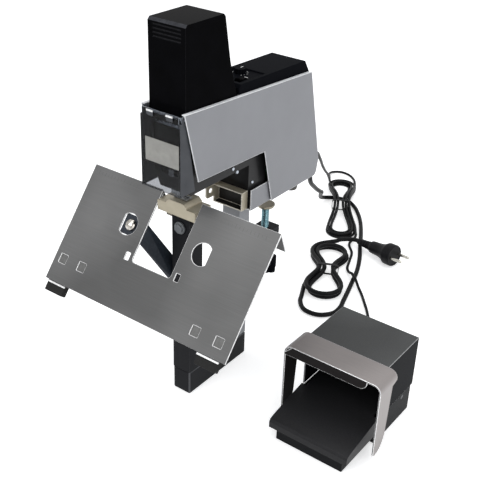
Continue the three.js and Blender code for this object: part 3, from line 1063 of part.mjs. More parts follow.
// A free stretch meets a hank face to face, a seat's gap away.
function beyond(line, atEnd, gap) {
  const [end, inner] = atEnd ? [line[line.length - 1], line[line.length - 2]] : [line[0], line[1]];
  return end.clone().add(end.clone().sub(inner).normalize().multiplyScalar(gap)).toArray();
}
const mainsLine = hankLines.mains_hank[1];
const leadLine = hankLines.lead_hank[1];
const approach = (line, atEnd) => [beyond(line, atEnd, SEAT), beyond(line, atEnd, 2 * OVERRUN)];
const PLUG_START = [-12, 457, 12.8];
const PLUG_FACE = [64, 442, 18.9];
const plugAxis = new THREE.Vector3(...PLUG_FACE).sub(new THREE.Vector3(...PLUG_START)).normalize();
const plugMeeting = [-MAINS_DIAMETER, -SEAT].map((back) =>
  new THREE.Vector3(...PLUG_START).addScaledVector(plugAxis, back).toArray());
const MAINS_END_MIDDLE = [[-40, 442, 11.6], [-28.5, 453.5, 12]];
const stretches = {
  mains_lead: [[...MAINS_ROUTE, ...approach(mainsLine, false).reverse()],
    MAINS_DIAMETER, MAINS_SIDES, MAINS_STEPS],
  mains_lead_end: [[...approach(mainsLine, true), ...MAINS_END_MIDDLE, ...plugMeeting],
    MAINS_DIAMETER, MAINS_SIDES, MAINS_END_STEPS],
  pedal_lead: [[...LEAD_ROUTE, ...approach(leadLine, false).reverse()],
    PEDAL_LEAD_DIAMETER, LEAD_SIDES, LEAD_STEPS],
  pedal_lead_end: [[...approach(leadLine, true), ...LEAD_END_ROUTE],
    PEDAL_LEAD_DIAMETER, LEAD_SIDES, LEAD_END_STEPS],
};
for (const [name, [route, diameter, sides, steps]] of Object.entries(stretches)) {
  part(name, tube(route, half(diameter), sides, steps), rubber);
  const curve = smoothLine(route);
  console.log(`${name}: length ${curve.getLength().toFixed(0)} mm`);
}

// Mains plug: a round moulded head on a ribbed boot, with two pins
const PLUG_HEAD_RADIUS = 17.5;
const PLUG_HEAD = 18;
const PLUG_NECK_RADIUS = 10;
const PLUG_BOOT = 30;
const PIN_LENGTH = 19;
const PIN_SPACING = 19;
const PLUG_PIN_RADIUS = 2.4;
const plugLength = new THREE.Vector3(...PLUG_FACE).distanceTo(new THREE.Vector3(...PLUG_START));
const plugTurn = new THREE.Quaternion().setFromUnitVectors(new THREE.Vector3(0, 0, 1), plugAxis);
const plugBody = turned([
  [0, 0], [half(MAINS_DIAMETER) + half(SHEET), 0], [half(PLUG_NECK_RADIUS) + SHEET, PLUG_BOOT],
  [PLUG_NECK_RADIUS, PLUG_BOOT + SHEET], [PLUG_NECK_RADIUS + SHEET, plugLength - PLUG_HEAD - OVERRUN],
  [PLUG_HEAD_RADIUS - SHEET, plugLength - PLUG_HEAD], [PLUG_HEAD_RADIUS, plugLength - PLUG_HEAD + SHEET],
  [PLUG_HEAD_RADIUS, plugLength - SHEET], [PLUG_HEAD_RADIUS - SHEET, plugLength],
  [0, plugLength]], [0, 0], 28);
const plugPins = bothSides.map((side) => turned([
  [0, plugLength - SHEET], [PLUG_PIN_RADIUS, plugLength - SHEET],
  [PLUG_PIN_RADIUS, plugLength + PIN_LENGTH - SHEET], [half(PLUG_PIN_RADIUS), plugLength + PIN_LENGTH],
  [0, plugLength + PIN_LENGTH]], [0, side * half(PIN_SPACING)], 14));
part('mains_plug', join(plugBody, ...plugPins).applyQuaternion(plugTurn).translate(...PLUG_START), rubber);

export default machine;
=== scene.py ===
"""Electric saddle stapler with its foot pedal and its two bundled leads, dressed on its frame."""
import math

import bmesh
import bpy
import numpy as np
from mathutils import Matrix, Vector


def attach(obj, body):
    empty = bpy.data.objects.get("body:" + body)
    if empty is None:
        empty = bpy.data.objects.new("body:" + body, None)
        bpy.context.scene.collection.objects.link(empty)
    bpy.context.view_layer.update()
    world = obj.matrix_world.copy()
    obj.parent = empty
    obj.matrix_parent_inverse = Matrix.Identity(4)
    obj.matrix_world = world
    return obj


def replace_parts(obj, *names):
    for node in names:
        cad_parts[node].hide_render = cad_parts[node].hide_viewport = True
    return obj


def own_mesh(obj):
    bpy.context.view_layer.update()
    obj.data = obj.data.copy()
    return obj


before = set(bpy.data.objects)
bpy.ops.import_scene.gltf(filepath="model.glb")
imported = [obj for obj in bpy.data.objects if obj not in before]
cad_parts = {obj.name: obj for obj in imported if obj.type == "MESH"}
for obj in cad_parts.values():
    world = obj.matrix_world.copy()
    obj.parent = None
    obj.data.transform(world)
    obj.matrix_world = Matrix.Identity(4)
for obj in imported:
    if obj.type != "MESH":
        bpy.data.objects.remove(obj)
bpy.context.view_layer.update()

# ---------------------------------------------------------------- camera
# The photograph's viewpoint, found from the edges of the table, the pedal and the column.
# Metres, degrees and a lens in millimetres.
CAMERA_PLACE = (0.573, -0.672, 0.7146)
CAMERA_YAW, CAMERA_PITCH, CAMERA_ROLL = np.radians([35.45, 29.3, 2.19])
CAMERA_LENS, CAMERA_NEAREST = 63.2, 0.01
ahead = Vector((-math.sin(CAMERA_YAW) * math.cos(CAMERA_PITCH),
                math.cos(CAMERA_YAW) * math.cos(CAMERA_PITCH), -math.sin(CAMERA_PITCH)))
level = Vector((math.cos(CAMERA_YAW), math.sin(CAMERA_YAW), 0))
upright = level.cross(ahead)
across = math.cos(CAMERA_ROLL) * level + math.sin(CAMERA_ROLL) * upright
upward = -math.sin(CAMERA_ROLL) * level + math.cos(CAMERA_ROLL) * upright
camera = bpy.data.objects.new("camera", bpy.data.cameras.new("camera"))
camera.data.lens = CAMERA_LENS
camera.data.clip_start = CAMERA_NEAREST
camera.matrix_world = Matrix.Translation(CAMERA_PLACE) @ Matrix(
    (across, upward, -ahead)).transposed().to_4x4()
bpy.context.collection.objects.link(camera)
bpy.context.scene.camera = camera

# ---------------------------------------------------------------- mains lead
# One flexible PVC mains lead, 7 mm thick and about 1.88 m long. It leaves the gland at the back,
# falls to the floor, is wound in a hank, and ends in the moulded plug that lies beside it.
# Its points are those of the CAD source, in millimetres; the tie draws the hank's waist tighter.
MM = 0.001
MAINS_DIAMETER = 7.0
MAINS_ROUTE = [
    (-8, 252.8, 236), (-8, 263, 236), (-13, 288, 212), (-30, 320, 168), (-58, 380, 126),
    (-84, 440, 88), (-110, 492, 58), (-128, 520, 38), (-142, 545, 18), (-146, 566, 8),
    (-134, 584, 4), (-112, 588, 4), (-90, 576, 4), (-70, 556, 4), (-50, 530, 4), (-28, 494, 4),
    (-10, 460, 4), (6, 432, 4), (18, 408, 4), (29, 382, 4), (38, 354, 4), (47, 326, 4),
    (55, 300, 4), (60.6, 281, 4), (60.3, 261.7, 4), (45.5, 244.7, 4), (22.9, 243.3, 4),
    (5.9, 258.1, 4)]
MAINS_END_MIDDLE = [(-40, 442, 11.6), (-28.5, 453.5, 12)]
MAINS_HANK = {
    "centre": (-8, 355), "axis": (-0.443, 0.897), "run": 50, "inner": 21, "step": 8.1,
    "turns": 7 / 3, "waist": 16.5, "layer": 7.5, "radius": 3.5, "ground": 0.3,
    "lift": 2.4, "lift_at": 0, "lift_reach": 50}
PLUG_START = np.array((-12, 457, 12.8))
PLUG_FACE = np.array((64, 442, 18.9))
plug_axis = (PLUG_FACE - PLUG_START) / float(np.linalg.norm(PLUG_FACE - PLUG_START))
ROUND_OFF = 1e-9  # keeps a quarter turn that is a whole number from falling below it


def smooth_line(points, pieces_each):
    """Centripetal Catmull-Rom curve: between two points, nested linear blends over knots that are
    spaced by the square root of the distances, the ends continued straight on."""
    points = np.array(points, float)
    points = np.vstack([2 * points[0] - points[1], points, 2 * points[-1] - points[-2]])
    p0, p1, p2, p3 = (points[i:len(points) - 3 + i, None] for i in range(4))
    gaps = [np.sqrt(np.linalg.norm(b - a, axis=2, keepdims=True))
            for a, b in ((p0, p1), (p1, p2), (p2, p3))]
    t0, t1, t2, t3 = 0, gaps[0], gaps[0] + gaps[1], gaps[0] + gaps[1] + gaps[2]
    t = t1 + gaps[1] * np.linspace(0, 1, pieces_each, endpoint=False)[None, :, None]
    a1, a2, a3 = [(tb - t) / (tb - ta) * pa + (t - ta) / (tb - ta) * pb
                  for ta, tb, pa, pb in ((t0, t1, p0, p1), (t1, t2, p1, p2), (t2, t3, p2, p3))]
    b1 = (t2 - t) / (t2 - t0) * a1 + (t - t0) / (t2 - t0) * a2
    b2 = (t3 - t) / (t3 - t1) * a2 + (t - t1) / (t3 - t1) * a3
    inner = ((t2 - t) / (t2 - t1) * b1 + (t - t1) / (t2 - t1) * b2).reshape(-1, 3)
    return np.vstack([inner, points[-2]])


def hank_line(hank, each_turn=48):
    """Middle line of a hank. Stadium turns spiral in to the middle turn and out again a layer up:
    half-width = inner + step x |turn - turns / 2|, drawn in by the tie as half the waist times
    (1 + cos(pi x / run)); a hump of the same kind passes over a crossing lead."""
    turn = np.linspace(0, hank["turns"], round(hank["turns"] * each_turn) + 1)
    quarter = np.floor(turn * 4 + ROUND_OFF).astype(int)
    along = turn * 4 - quarter
    width = hank["inner"] + hank["step"] * np.abs(turn - hank["turns"] / 2)
    facing = np.where(quarter % 4 < 2, 1.0, -1.0)
    on_run = quarter % 2 == 0
    x = np.where(on_run, hank["run"] * (2 * along - 1),
                 hank["run"] + width * np.sin(along * math.pi))
    drawn = hank["waist"] / 2 * (1 + np.cos(math.pi * np.clip(x / hank["run"], -1, 1)))
    y = np.where(on_run, width - drawn, width * np.cos(along * math.pi))
    share = np.clip((turn - math.floor(hank["turns"] * 2) / 4) * 4, 0, 1)
    climb = share * share * (3 - 2 * share)
    away = np.minimum(1, np.abs(facing * x - hank["lift_at"]) / hank["lift_reach"])
    z = (hank["radius"] + hank["ground"] + hank["layer"] * climb
         + hank["lift"] / 2 * (1 + np.cos(math.pi * away)))
    line = np.column_stack([facing * x, facing * y, z])
    end_angle = math.pi * along[-1]
    straight = 2 * hank["radius"] * np.array(
        [[1, 0, 0], [math.cos(end_angle), -math.sin(end_angle), 0]])
    line = np.vstack([line[0] - straight[0], line, line[-1] + straight[1]])
    cosine, sine = hank["axis"]
    turned = np.column_stack([cosine * line[:, 0] - sine * line[:, 1],
                              sine * line[:, 0] + cosine * line[:, 1]])
    return np.column_stack([turned + hank["centre"], line[:, 2]])


def beyond(line, gap):
    """The point that lies gap past a line's last point, straight on."""
    onward = line[-1] - line[-2]
    return line[-1] + onward * (gap / np.linalg.norm(onward))


def colour(red, green, blue):
    """Linear colour of an sRGB one given in 0 to 255: ((c + 0.055) / 1.055) to the power 2.4."""
    values = np.array((red, green, blue)) / 255
    linear = np.where(values < 0.04045, values / 12.92, ((values + 0.055) / 1.055) ** 2.4)
    return (*linear.tolist(), 1.0)


NOISE_LOW, NOISE_HIGH = 0.3, 0.7  # where the fine noise gives the dark and the light end
CLOUD_LOW, CLOUD_HIGH = 0.35, 0.65  # the same for the wide patches
NOISE_DETAIL, CLOUD_GRAIN = 4.0, 7.0
CORD_ROUNDNESS = 3  # Blender's bevel resolution: a section of ten sides


def surface(name, dark, light, rough, grain, relief=0.0, stretch=(1, 1, 1), clouds=0.06, **sockets):
    """Material whose colour runs from dark to light, and roughness over the two values of rough,
    with a noise of that grain (cells a metre) on Object coordinates, stretched along each axis by
    stretch; relief is its bump in millimetres, and clouds the share by which wide soft patches
    darken and lighten it. Colours are sRGB, 0 to 255."""
    material = bpy.data.materials.new(name)
    material.use_nodes = True
    tree = material.node_tree
    shader = tree.nodes["Principled BSDF"]
    for socket, value in sockets.items():
        shader.inputs[socket.replace("_", " ")].default_value = value
    place = tree.nodes.new("ShaderNodeTexCoord")
    mapping = tree.nodes.new("ShaderNodeMapping")
    mapping.inputs["Scale"].default_value = stretch
    noise = tree.nodes.new("ShaderNodeTexNoise")
    noise.inputs["Scale"].default_value = grain
    noise.inputs["Detail"].default_value = NOISE_DETAIL
    tone = tree.nodes.new("ShaderNodeValToRGB")
    tone.color_ramp.elements[0].position = NOISE_LOW
    tone.color_ramp.elements[1].position = NOISE_HIGH
    tone.color_ramp.elements[0].color = colour(*dark)
    tone.color_ramp.elements[1].color = colour(*light)
    spread = tree.nodes.new("ShaderNodeMapRange")
    spread.inputs["From Min"].default_value = NOISE_LOW
    spread.inputs["From Max"].default_value = NOISE_HIGH
    spread.inputs["To Min"].default_value = rough[0]
    spread.inputs["To Max"].default_value = rough[1]
    tree.links.new(place.outputs["Object"], mapping.inputs["Vector"])
    tree.links.new(mapping.outputs["Vector"], noise.inputs["Vector"])
    tree.links.new(noise.outputs["Fac"], tone.inputs["Fac"])
    tree.links.new(noise.outputs["Fac"], spread.inputs["Value"])
    patches = tree.nodes.new("ShaderNodeTexNoise")
    patches.inputs["Scale"].default_value = CLOUD_GRAIN
    shade = tree.nodes.new("ShaderNodeMapRange")
    shade.inputs["From Min"].default_value = CLOUD_LOW
    shade.inputs["From Max"].default_value = CLOUD_HIGH
    shade.inputs["To Min"].default_value = 1 - clouds
    shade.inputs["To Max"].default_value = 1 + clouds
    clouded = tree.nodes.new("ShaderNodeVectorMath")
    clouded.operation = "SCALE"
    tree.links.new(place.outputs["Object"], patches.inputs["Vector"])
    tree.links.new(patches.outputs["Fac"], shade.inputs["Value"])
    tree.links.new(tone.outputs["Color"], clouded.inputs[0])
    tree.links.new(shade.outputs["Result"], clouded.inputs["Scale"])
    tree.links.new(clouded.outputs[0], shader.inputs["Base Color"])
    tree.links.new(spread.outputs["Result"], shader.inputs["Roughness"])
    if relief:
        bump = tree.nodes.new("ShaderNodeBump")
        bump.inputs["Distance"].default_value = relief * MM
        tree.links.new(noise.outputs["Fac"], bump.inputs["Height"])
        tree.links.new(bump.outputs["Normal"], shader.inputs["Normal"])
    return material


def cord_piece(name, line, diameter, material):
    """A round cord as one open curve along a line in millimetres."""
    curve = bpy.data.curves.new(name, "CURVE")
    curve.dimensions = "3D"
    spline = curve.splines.new("POLY")
    spline.points.add(len(line) - 1)
    spline.points.foreach_set("co", np.column_stack([line * MM, np.ones(len(line))]).ravel())
    curve.bevel_depth = diameter / 2 * MM
    curve.bevel_resolution = CORD_ROUNDNESS
    curve.use_fill_caps = True
    curve.materials.append(material)
    cord = bpy.data.objects.new(name, curve)
    bpy.context.collection.objects.link(cord)
    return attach(cord, "root")


SEAT, LEAD_IN = 0.3, 20  # from a hank's end to where its cord's stretch starts, and runs straight
INTO_PLUG = 2  # how far the lead goes into the plug's boot
mains_hank = hank_line(MAINS_HANK)
mains_route = smooth_line(
    [*MAINS_ROUTE, beyond(mains_hank[::-1], LEAD_IN), beyond(mains_hank[::-1], SEAT)],
    pieces_each=8)
mains_end = smooth_line(
    [beyond(mains_hank, SEAT), beyond(mains_hank, LEAD_IN), *MAINS_END_MIDDLE,
     PLUG_START - MAINS_DIAMETER * plug_axis, PLUG_START + INTO_PLUG * plug_axis], pieces_each=6)
lead_black = surface("black_pvc_lead", (9, 9, 10), (18, 19, 21), (0.34, 0.5), 260, 0.03,
                     Specular_IOR_Level=0.1)
mains_lead = cord_piece("mains_lead_whole", np.vstack([mains_route, mains_hank, mains_end]),
                        MAINS_DIAMETER, lead_black)
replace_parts(mains_lead, "mains_lead", "mains_hank", "mains_lead_end")

# ---------------------------------------------------------------- mains plug
# Moulded two-pin plug: a ribbed flexible boot, a neck and a round face with a rim, all in one
# black PVC moulding around two nickel-plated pins.
# radius and distance along the plug, in millimetres
PLUG_PROFILE = [
    (0.5, 0), (4.6, 0), (5.0, 0.8), (5.2, 3), (4.4, 3.6), (4.4, 5.4), (5.6, 6), (5.6, 8.6),
    (4.7, 9.2), (4.7, 11), (6.1, 11.6), (6.1, 14.2), (5.1, 14.8), (5.1, 16.6), (6.6, 17.2),
    (6.6, 19.8), (5.6, 20.4), (5.6, 22.2), (7.2, 22.8), (7.2, 26), (9.6, 29), (10.2, 33),
    (10.6, 42), (11.5, 49), (13.4, 55), (16, 59.2), (17.2, 61), (17.5, 63), (17.5, 73),
    (17.1, 74.6), (16, 75.6), (15.2, 75.4), (14.8, 74.9), (0.5, 74.9)]
PIN_PROFILE = [(0.2, 74), (2.4, 74), (2.4, 94.2), (2.1, 95.6), (1.2, 96.6), (0.2, 96.8)]
PIN_SPACING = 19
SAME_POINT = 1e-7  # metres between two points that count as one
CREASE = math.radians(35)
NEARLY_UPRIGHT = 0.9  # with this share along z or more, an axis is crossed with x, not with z


def turned_axes(axis):
    """Two unit vectors that stand square to an axis and to each other, and the axis."""
    axis = np.array(axis, float) / np.linalg.norm(axis)
    side = np.cross(axis, (0, 0, 1) if abs(axis[2]) < NEARLY_UPRIGHT else (1, 0, 0))
    side /= np.linalg.norm(side)
    return side, np.cross(axis, side), axis


def mesh_piece(name, points, faces, body, material, smooth=True):
    """A piece from points in millimetres and faces, with doubled points joined, every face turned
    outward, and smooth shading that stops at creases."""
    mesh = bpy.data.meshes.new(name)
    mesh.from_pydata((np.array(points) * MM).tolist(), [], faces)
    bm = bmesh.new()
    bm.from_mesh(mesh)
    bmesh.ops.remove_doubles(bm, verts=bm.verts, dist=SAME_POINT)
    bmesh.ops.recalc_face_normals(bm, faces=bm.faces)
    bm.to_mesh(mesh)
    bm.free()
    mesh.polygons.foreach_set("use_smooth", np.full(len(mesh.polygons), smooth))
    mesh.set_sharp_from_angle(angle=CREASE)
    mesh.materials.append(material)
    piece = bpy.data.objects.new(name, mesh)
    bpy.context.collection.objects.link(piece)
    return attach(piece, body)


def grid_mesh(name, grid, body, material, wrap_u=True, wrap_v=False, caps=False):
    """Puts a surface into a mesh: grid[v, u] holds its points in millimetres, joined in squares,
    with the last column joined to the first where wrap_u, the last row to the first where wrap_v,
    and flat ends where caps."""
    rows, columns = grid.shape[:2]
    index = np.arange(rows * columns).reshape(rows, columns)
    if wrap_u:
        index = np.hstack([index, index[:, :1]])
    if wrap_v:
        index = np.vstack([index, index[:1]])
    squares = [index[:-1, :-1], index[:-1, 1:], index[1:, 1:], index[1:, :-1]]
    faces = np.stack(squares, -1).reshape(-1, 4).tolist()
    if caps:
        faces += [index[0, :columns][::-1].tolist(), index[-1, :columns].tolist()]
    return mesh_piece(name, grid.reshape(-1, 3), faces, body, material)


def lathe(profile, start, axis, sides=40, offset=(0, 0)):
    """Surface of revolution: a point of the profile at radius r and distance d goes to
    start + d axis + r (cos u side + sin u other), the axis moved sideways by offset."""
    side, other, axis = turned_axes(axis)
    radius, along = np.array(profile, float).T
    angle = np.linspace(0, 2 * math.pi, sides, endpoint=False)
    ring = np.cos(angle)[:, None] * side + np.sin(angle)[:, None] * other
    middle = np.array(start, float) + offset[0] * side + offset[1] * other
    return middle + along[:, None, None] * axis + radius[:, None, None] * ring


plug_black = surface("moulded_plug", (12, 12, 14), (22, 22, 25), (0.4, 0.55), 300, 0.05,
                     Specular_IOR_Level=0.12)
pin_nickel = surface("plug_pin_nickel", (176, 174, 166), (204, 202, 195), (0.14, 0.24), 500,
                     Metallic=1.0)
plug = grid_mesh("plug_moulding", lathe(PLUG_PROFILE, PLUG_START, plug_axis), "root",
                 plug_black, caps=True)
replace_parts(plug, "mains_plug")
for number, side in ((1, -1), (2, 1)):
    pin = lathe(PIN_PROFILE, PLUG_START, plug_axis, sides=20, offset=(side * PIN_SPACING / 2, 0))
    grid_mesh(f"plug_pin_{number}", pin, "root", pin_nickel, caps=True)

# ---------------------------------------------------------------- tie of the mains lead
# A black hook-and-loop strap of woven nylon, 5 mm wide, is pulled once round the waist of the
# hank, and its dull, rough side shows.
MAINS_TIE_WIDTH, MAINS_TIE_WALL = 5, 0.9
TIE_GROUND = 0.02  # height of the strap's underside
TIE_POINTS, TIE_SQUARENESS = 72, 0.36
TIE_WALL_UNDER = 0.2  # share of its wall that the strap keeps under the strands
strap_black = surface("hook_and_loop_strap", (14, 14, 16), (34, 34, 37), (0.8, 0.95), 1400, 0.25)


def tie_ring(hank, line, width, wall):
    """A strap round a hank's waist, as a closed band of that wall. It is a superellipse around the
    strands that pass within the strap's width: y = a |cos u|^0.36 and z = b |sin u|^0.36, with the
    signs of cos u and sin u."""
    cosine, sine = hank["axis"]
    flat = line[:, :2] - hank["centre"]
    along = cosine * flat[:, 0] + sine * flat[:, 1]
    sideways = -sine * flat[:, 0] + cosine * flat[:, 1]
    near = np.abs(along) < width
    reach = np.abs(sideways[near]).max() + hank["radius"]
    bottom, top = TIE_GROUND, line[near, 2].max() + hank["radius"] + wall
    angle = np.linspace(0, 2 * math.pi, TIE_POINTS, endpoint=False)
    ring_y = np.sign(np.cos(angle)) * np.abs(np.cos(angle)) ** TIE_SQUARENESS
    ring_z = np.sign(np.sin(angle)) * np.abs(np.sin(angle)) ** TIE_SQUARENESS
    rows = []
    for along_at, inset in ((-1, 0), (1, 0), (1, 1), (-1, 1)):
        y = ring_y * (reach + wall - inset * wall)
        drawn_in = inset * wall * np.where(ring_z < 0, TIE_WALL_UNDER, 1)
        z = (bottom + top) / 2 + ring_z * ((top - bottom) / 2 - drawn_in)
        x = np.full_like(y, along_at * width / 2)
        rows.append(np.column_stack([cosine * x - sine * y + hank["centre"][0],
                                     sine * x + cosine * y + hank["centre"][1], z]))
    return np.array(rows)


mains_tie = grid_mesh(
    "mains_hank_tie", tie_ring(MAINS_HANK, mains_hank, MAINS_TIE_WIDTH, MAINS_TIE_WALL), "root",
    strap_black, wrap_v=True)

# ---------------------------------------------------------------- pedal lead
# The thinner two-core lead, 4.4 mm thick and about 3.05 m long, runs from the second gland to the
# pedal. Its spare length lies in a long hank behind the machine, held by a strap like the other,
# and its end passes over the mains lead.
LEAD_DIAMETER = 4.4
LEAD_ROUTE = [
    (12, 252.8, 243), (12, 261, 243), (-3, 298, 217), (-31, 353, 180), (-74, 435, 130),
    (-117, 519, 80), (-149, 581, 40), (-168, 617, 16), (-184, 642, 12), (-196, 662, 6),
    (-198, 678, 3.2), (-186, 689, 2.7), (-168, 688, 2.7), (-150, 676, 2.7)]
LEAD_END_ROUTE = [
    (-28, 456, 2.7), (-9.4, 432.4, 2.7), (1, 408, 2.7), (10, 386.2, 2.7), (20, 374, 5),
    (30, 365, 10.5), (37, 358.5, 11.3), (44, 353, 10.5), (54, 345, 5), (66, 334, 2.9),
    (80, 318, 2.7), (98, 296, 2.7), (122, 260, 2.7), (146, 214, 4), (163, 188, 10), (168, 175, 12),
    (168, 167, 12)]
LEAD_HANK = {
    "centre": (-106, 556.5), "axis": (0.512, -0.859), "run": 84, "inner": 14, "step": 5.3,
    "turns": 4.25, "waist": 11.2, "layer": 4.9, "radius": 2.2, "ground": 0.3,
    "lift": 11, "lift_at": -20, "lift_reach": 80}
LEAD_TIE_WIDTH, LEAD_TIE_WALL = 4, 0.7
lead_hank = hank_line(LEAD_HANK)
lead_route = smooth_line(
    [*LEAD_ROUTE, beyond(lead_hank[::-1], LEAD_IN), beyond(lead_hank[::-1], SEAT)],
    pieces_each=10)
lead_end = smooth_line(
    [beyond(lead_hank, SEAT), beyond(lead_hank, LEAD_IN), *LEAD_END_ROUTE], pieces_each=8)
pedal_lead = cord_piece("pedal_lead_whole", np.vstack([lead_route, lead_hank, lead_end]),
                        LEAD_DIAMETER, lead_black)
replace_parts(pedal_lead, "pedal_lead", "lead_hank", "pedal_lead_end")
lead_tie = grid_mesh(
    "lead_hank_tie", tie_ring(LEAD_HANK, lead_hank, LEAD_TIE_WIDTH, LEAD_TIE_WALL), "root",
    strap_black, wrap_v=True)

# ---------------------------------------------------------------- floor and light
# A pale floor that runs out of sight, white beyond it, and three large soft lamps. The white is
# there for camera, glossy and transmission rays only, so it adds no diffuse light.
FLOOR_SIZE, FLOOR_GLOW = 24.0, 0.5
STUDIO_TINT, STUDIO_STRENGTH = (0.95, 0.97, 1, 1), 0.55
WHITE = (1, 1, 1, 1)


def background_rays(tree):
    """Light Path's camera, glossy and transmission rays as one factor: the largest of the three."""
    rays = tree.nodes.new("ShaderNodeLightPath")
    factor = rays.outputs["Is Camera Ray"]
    for kind in ("Is Glossy Ray", "Is Transmission Ray"):
        either = tree.nodes.new("ShaderNodeMath")
        either.operation = "MAXIMUM"
        tree.links.new(factor, either.inputs[0])
        tree.links.new(rays.outputs[kind], either.inputs[1])
        factor = either.outputs[0]
    return factor


floor_white = surface("pale_floor", (247, 247, 247), (250, 250, 250), (0.6, 0.7), 3, clouds=0,
                      Specular_IOR_Level=0.1, Emission_Color=WHITE)
floor_tree = floor_white.node_tree
floor_glow = floor_tree.nodes.new("ShaderNodeMath")
floor_glow.operation = "MULTIPLY"
floor_glow.inputs[1].default_value = FLOOR_GLOW
floor_shader = floor_tree.nodes["Principled BSDF"]
floor_tree.links.new(background_rays(floor_tree), floor_glow.inputs[0])
floor_tree.links.new(floor_glow.outputs[0], floor_shader.inputs["Emission Strength"])
corners = np.array([[(-1, -1, 0), (1, -1, 0)], [(-1, 1, 0), (1, 1, 0)]]) * FLOOR_SIZE / MM / 2
floor = grid_mesh("floor", corners.astype(float), "root", floor_white, wrap_u=False)
world = bpy.data.worlds.new("studio")
bpy.context.scene.world = world
world.use_nodes = True
studio = world.node_tree
plain = studio.nodes["Background"]
plain.inputs["Color"].default_value = STUDIO_TINT
plain.inputs["Strength"].default_value = STUDIO_STRENGTH
seen = studio.nodes.new("ShaderNodeBackground")
seen.inputs["Color"].default_value = WHITE
choice = studio.nodes.new("ShaderNodeMixShader")
studio.links.new(background_rays(studio), choice.inputs["Fac"])
studio.links.new(plain.outputs[0], choice.inputs[1])
studio.links.new(seen.outputs[0], choice.inputs[2])
studio.links.new(choice.outputs[0], studio.nodes["World Output"].inputs["Surface"])
LAMPS = {  # place, the point it looks at, size in metres, watts
    "key": ((-0.5, -1.5, 1.7), (0, 0.1, 0.2), 1.2, 17),
    "fill": ((1.6, -0.3, 1.0), (0, 0.1, 0.2), 1.4, 10),
    "top": ((0.1, 0.4, 2.1), (0, 0.2, 0.2), 1.6, 12)}
for name, (place, target, size, watts) in LAMPS.items():
    lamp = bpy.data.lights.new(name, "AREA")
    lamp.size = size
    lamp.energy = watts
    holder = bpy.data.objects.new(name, lamp)
    holder.location = place
    holder.rotation_euler = (Vector(target) - Vector(place)).to_track_quat("-Z", "Y").to_euler()
    bpy.context.collection.objects.link(holder)
bpy.context.scene.view_settings.view_transform = "Standard"

# ---------------------------------------------------------------- stand
# Welded steel tube, sprayed: the foot bar and the front column in textured black, with a painted
# highlight on their rounded edges, the rear post in the grey of the housing. A hexagon bolt holds
# the anvil's shank in the column.
CAD_SAME_POINT = 2e-6  # metres between two points that count as one
CAD_FLAT = math.radians(0.6)  # most that the facets of one flat face turn
THIN_FACE = 1.0  # most that a sheet's cut edge has of area over perimeter, in millimetres
SHARP = math.radians(32)


def is_cut_edge(face):
    """Whether a face is the thin cut edge of a sheet, not a strip of its bend: a cut edge is sharp
    along its longest side."""
    longest = max(face.edges, key=lambda side: side.calc_length())
    return (face.calc_area() < THIN_FACE * MM * face.calc_perimeter()
            and longest.calc_face_angle(0) > SHARP)


def softened(node, body, material, rounding, segments=2, edge=None, painted_light=None,
             painted_light_where=None, held=True):
    """A CAD piece with its flat faces made whole and its corners rounded to that many millimetres.
    The rounding and the cut edges of the sheet take the edge material, and the broad faces for
    which the test of normal and middle (in millimetres) holds take the third one: a copy of the
    finish with painted light, painted shade on some pieces and a painted highlight on others. It
    needs an edge one before it. Held back, the rounding stays within the shortest edge
    beside it."""
    mesh = bpy.data.meshes.new(node + "_soft")
    for finish in filter(None, (material, edge, painted_light)):
        mesh.materials.append(finish)
    bm = bmesh.new()
    bm.from_mesh(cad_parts[node].data)
    bmesh.ops.remove_doubles(bm, verts=bm.verts, dist=CAD_SAME_POINT)
    bmesh.ops.dissolve_limit(bm, angle_limit=CAD_FLAT, verts=bm.verts, edges=bm.edges)
    bmesh.ops.connect_verts_concave(bm, faces=[face for face in bm.faces if is_cut_edge(face)])
    for face in bm.faces:
        thin = is_cut_edge(face)
        face.material_index = 1 if edge and thin else 0
        if painted_light and not thin and painted_light_where(face.normal, face.calc_center_median() / MM):
            face.material_index = 2
    bm.to_mesh(mesh)
    bm.free()
    mesh.polygons.foreach_set("use_smooth", np.full(len(mesh.polygons), True))
    mesh.set_sharp_from_angle(angle=SHARP)
    piece = bpy.data.objects.new(node + "_soft", mesh)
    bpy.context.collection.objects.link(piece)
    bevel = piece.modifiers.new("rounding", "BEVEL")
    bevel.width = rounding * MM
    bevel.segments = segments
    bevel.limit_method = "ANGLE"
    bevel.angle_limit = SHARP
    bevel.harden_normals = True
    bevel.use_clamp_overlap = held
    if edge:
        bevel.material = 1
    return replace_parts(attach(piece, body), node)


def dress(material, *nodes):
    """Gives CAD pieces whose shape is right their finish."""
    for node in nodes:
        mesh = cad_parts[node].data
        mesh.materials.clear()
        mesh.materials.append(material)


stand_black = surface("textured_black_paint", (21, 22, 25), (29, 30, 33), (0.42, 0.6), 900, 0.06,
                      Specular_IOR_Level=0.08)
# Painted highlight: a lighter black along the rounded edges of the foot bar and the column; the
# treadle pin takes it whole as its own dark grey.
dark_grey_and_edge_highlight = surface("dark_grey_and_painted_edge_highlight", (44, 46, 50), (62, 64, 68), (0.35, 0.5), 700)
post_grey = surface("grey_paint", (128, 130, 134), (138, 140, 144), (0.38, 0.5), 700, 0.03)
bright_zinc = surface("bright_zinc", (150, 156, 166), (186, 192, 200), (0.2, 0.36), 320, 0.02,
                      Metallic=0.9)
dull_zinc = surface("dull_zinc", (100, 103, 106), (114, 117, 120), (0.35, 0.5), 200, Metallic=0.4)
softened("base_box", "root", stand_black, 1.6, segments=3, edge=dark_grey_and_edge_highlight)
softened("front_column", "root", stand_black, 1.0, segments=3, edge=dark_grey_and_edge_highlight)
softened("rear_post", "root", post_grey, 1.6, segments=3)
softened("column_bolt", "root", dull_zinc, 0.5)
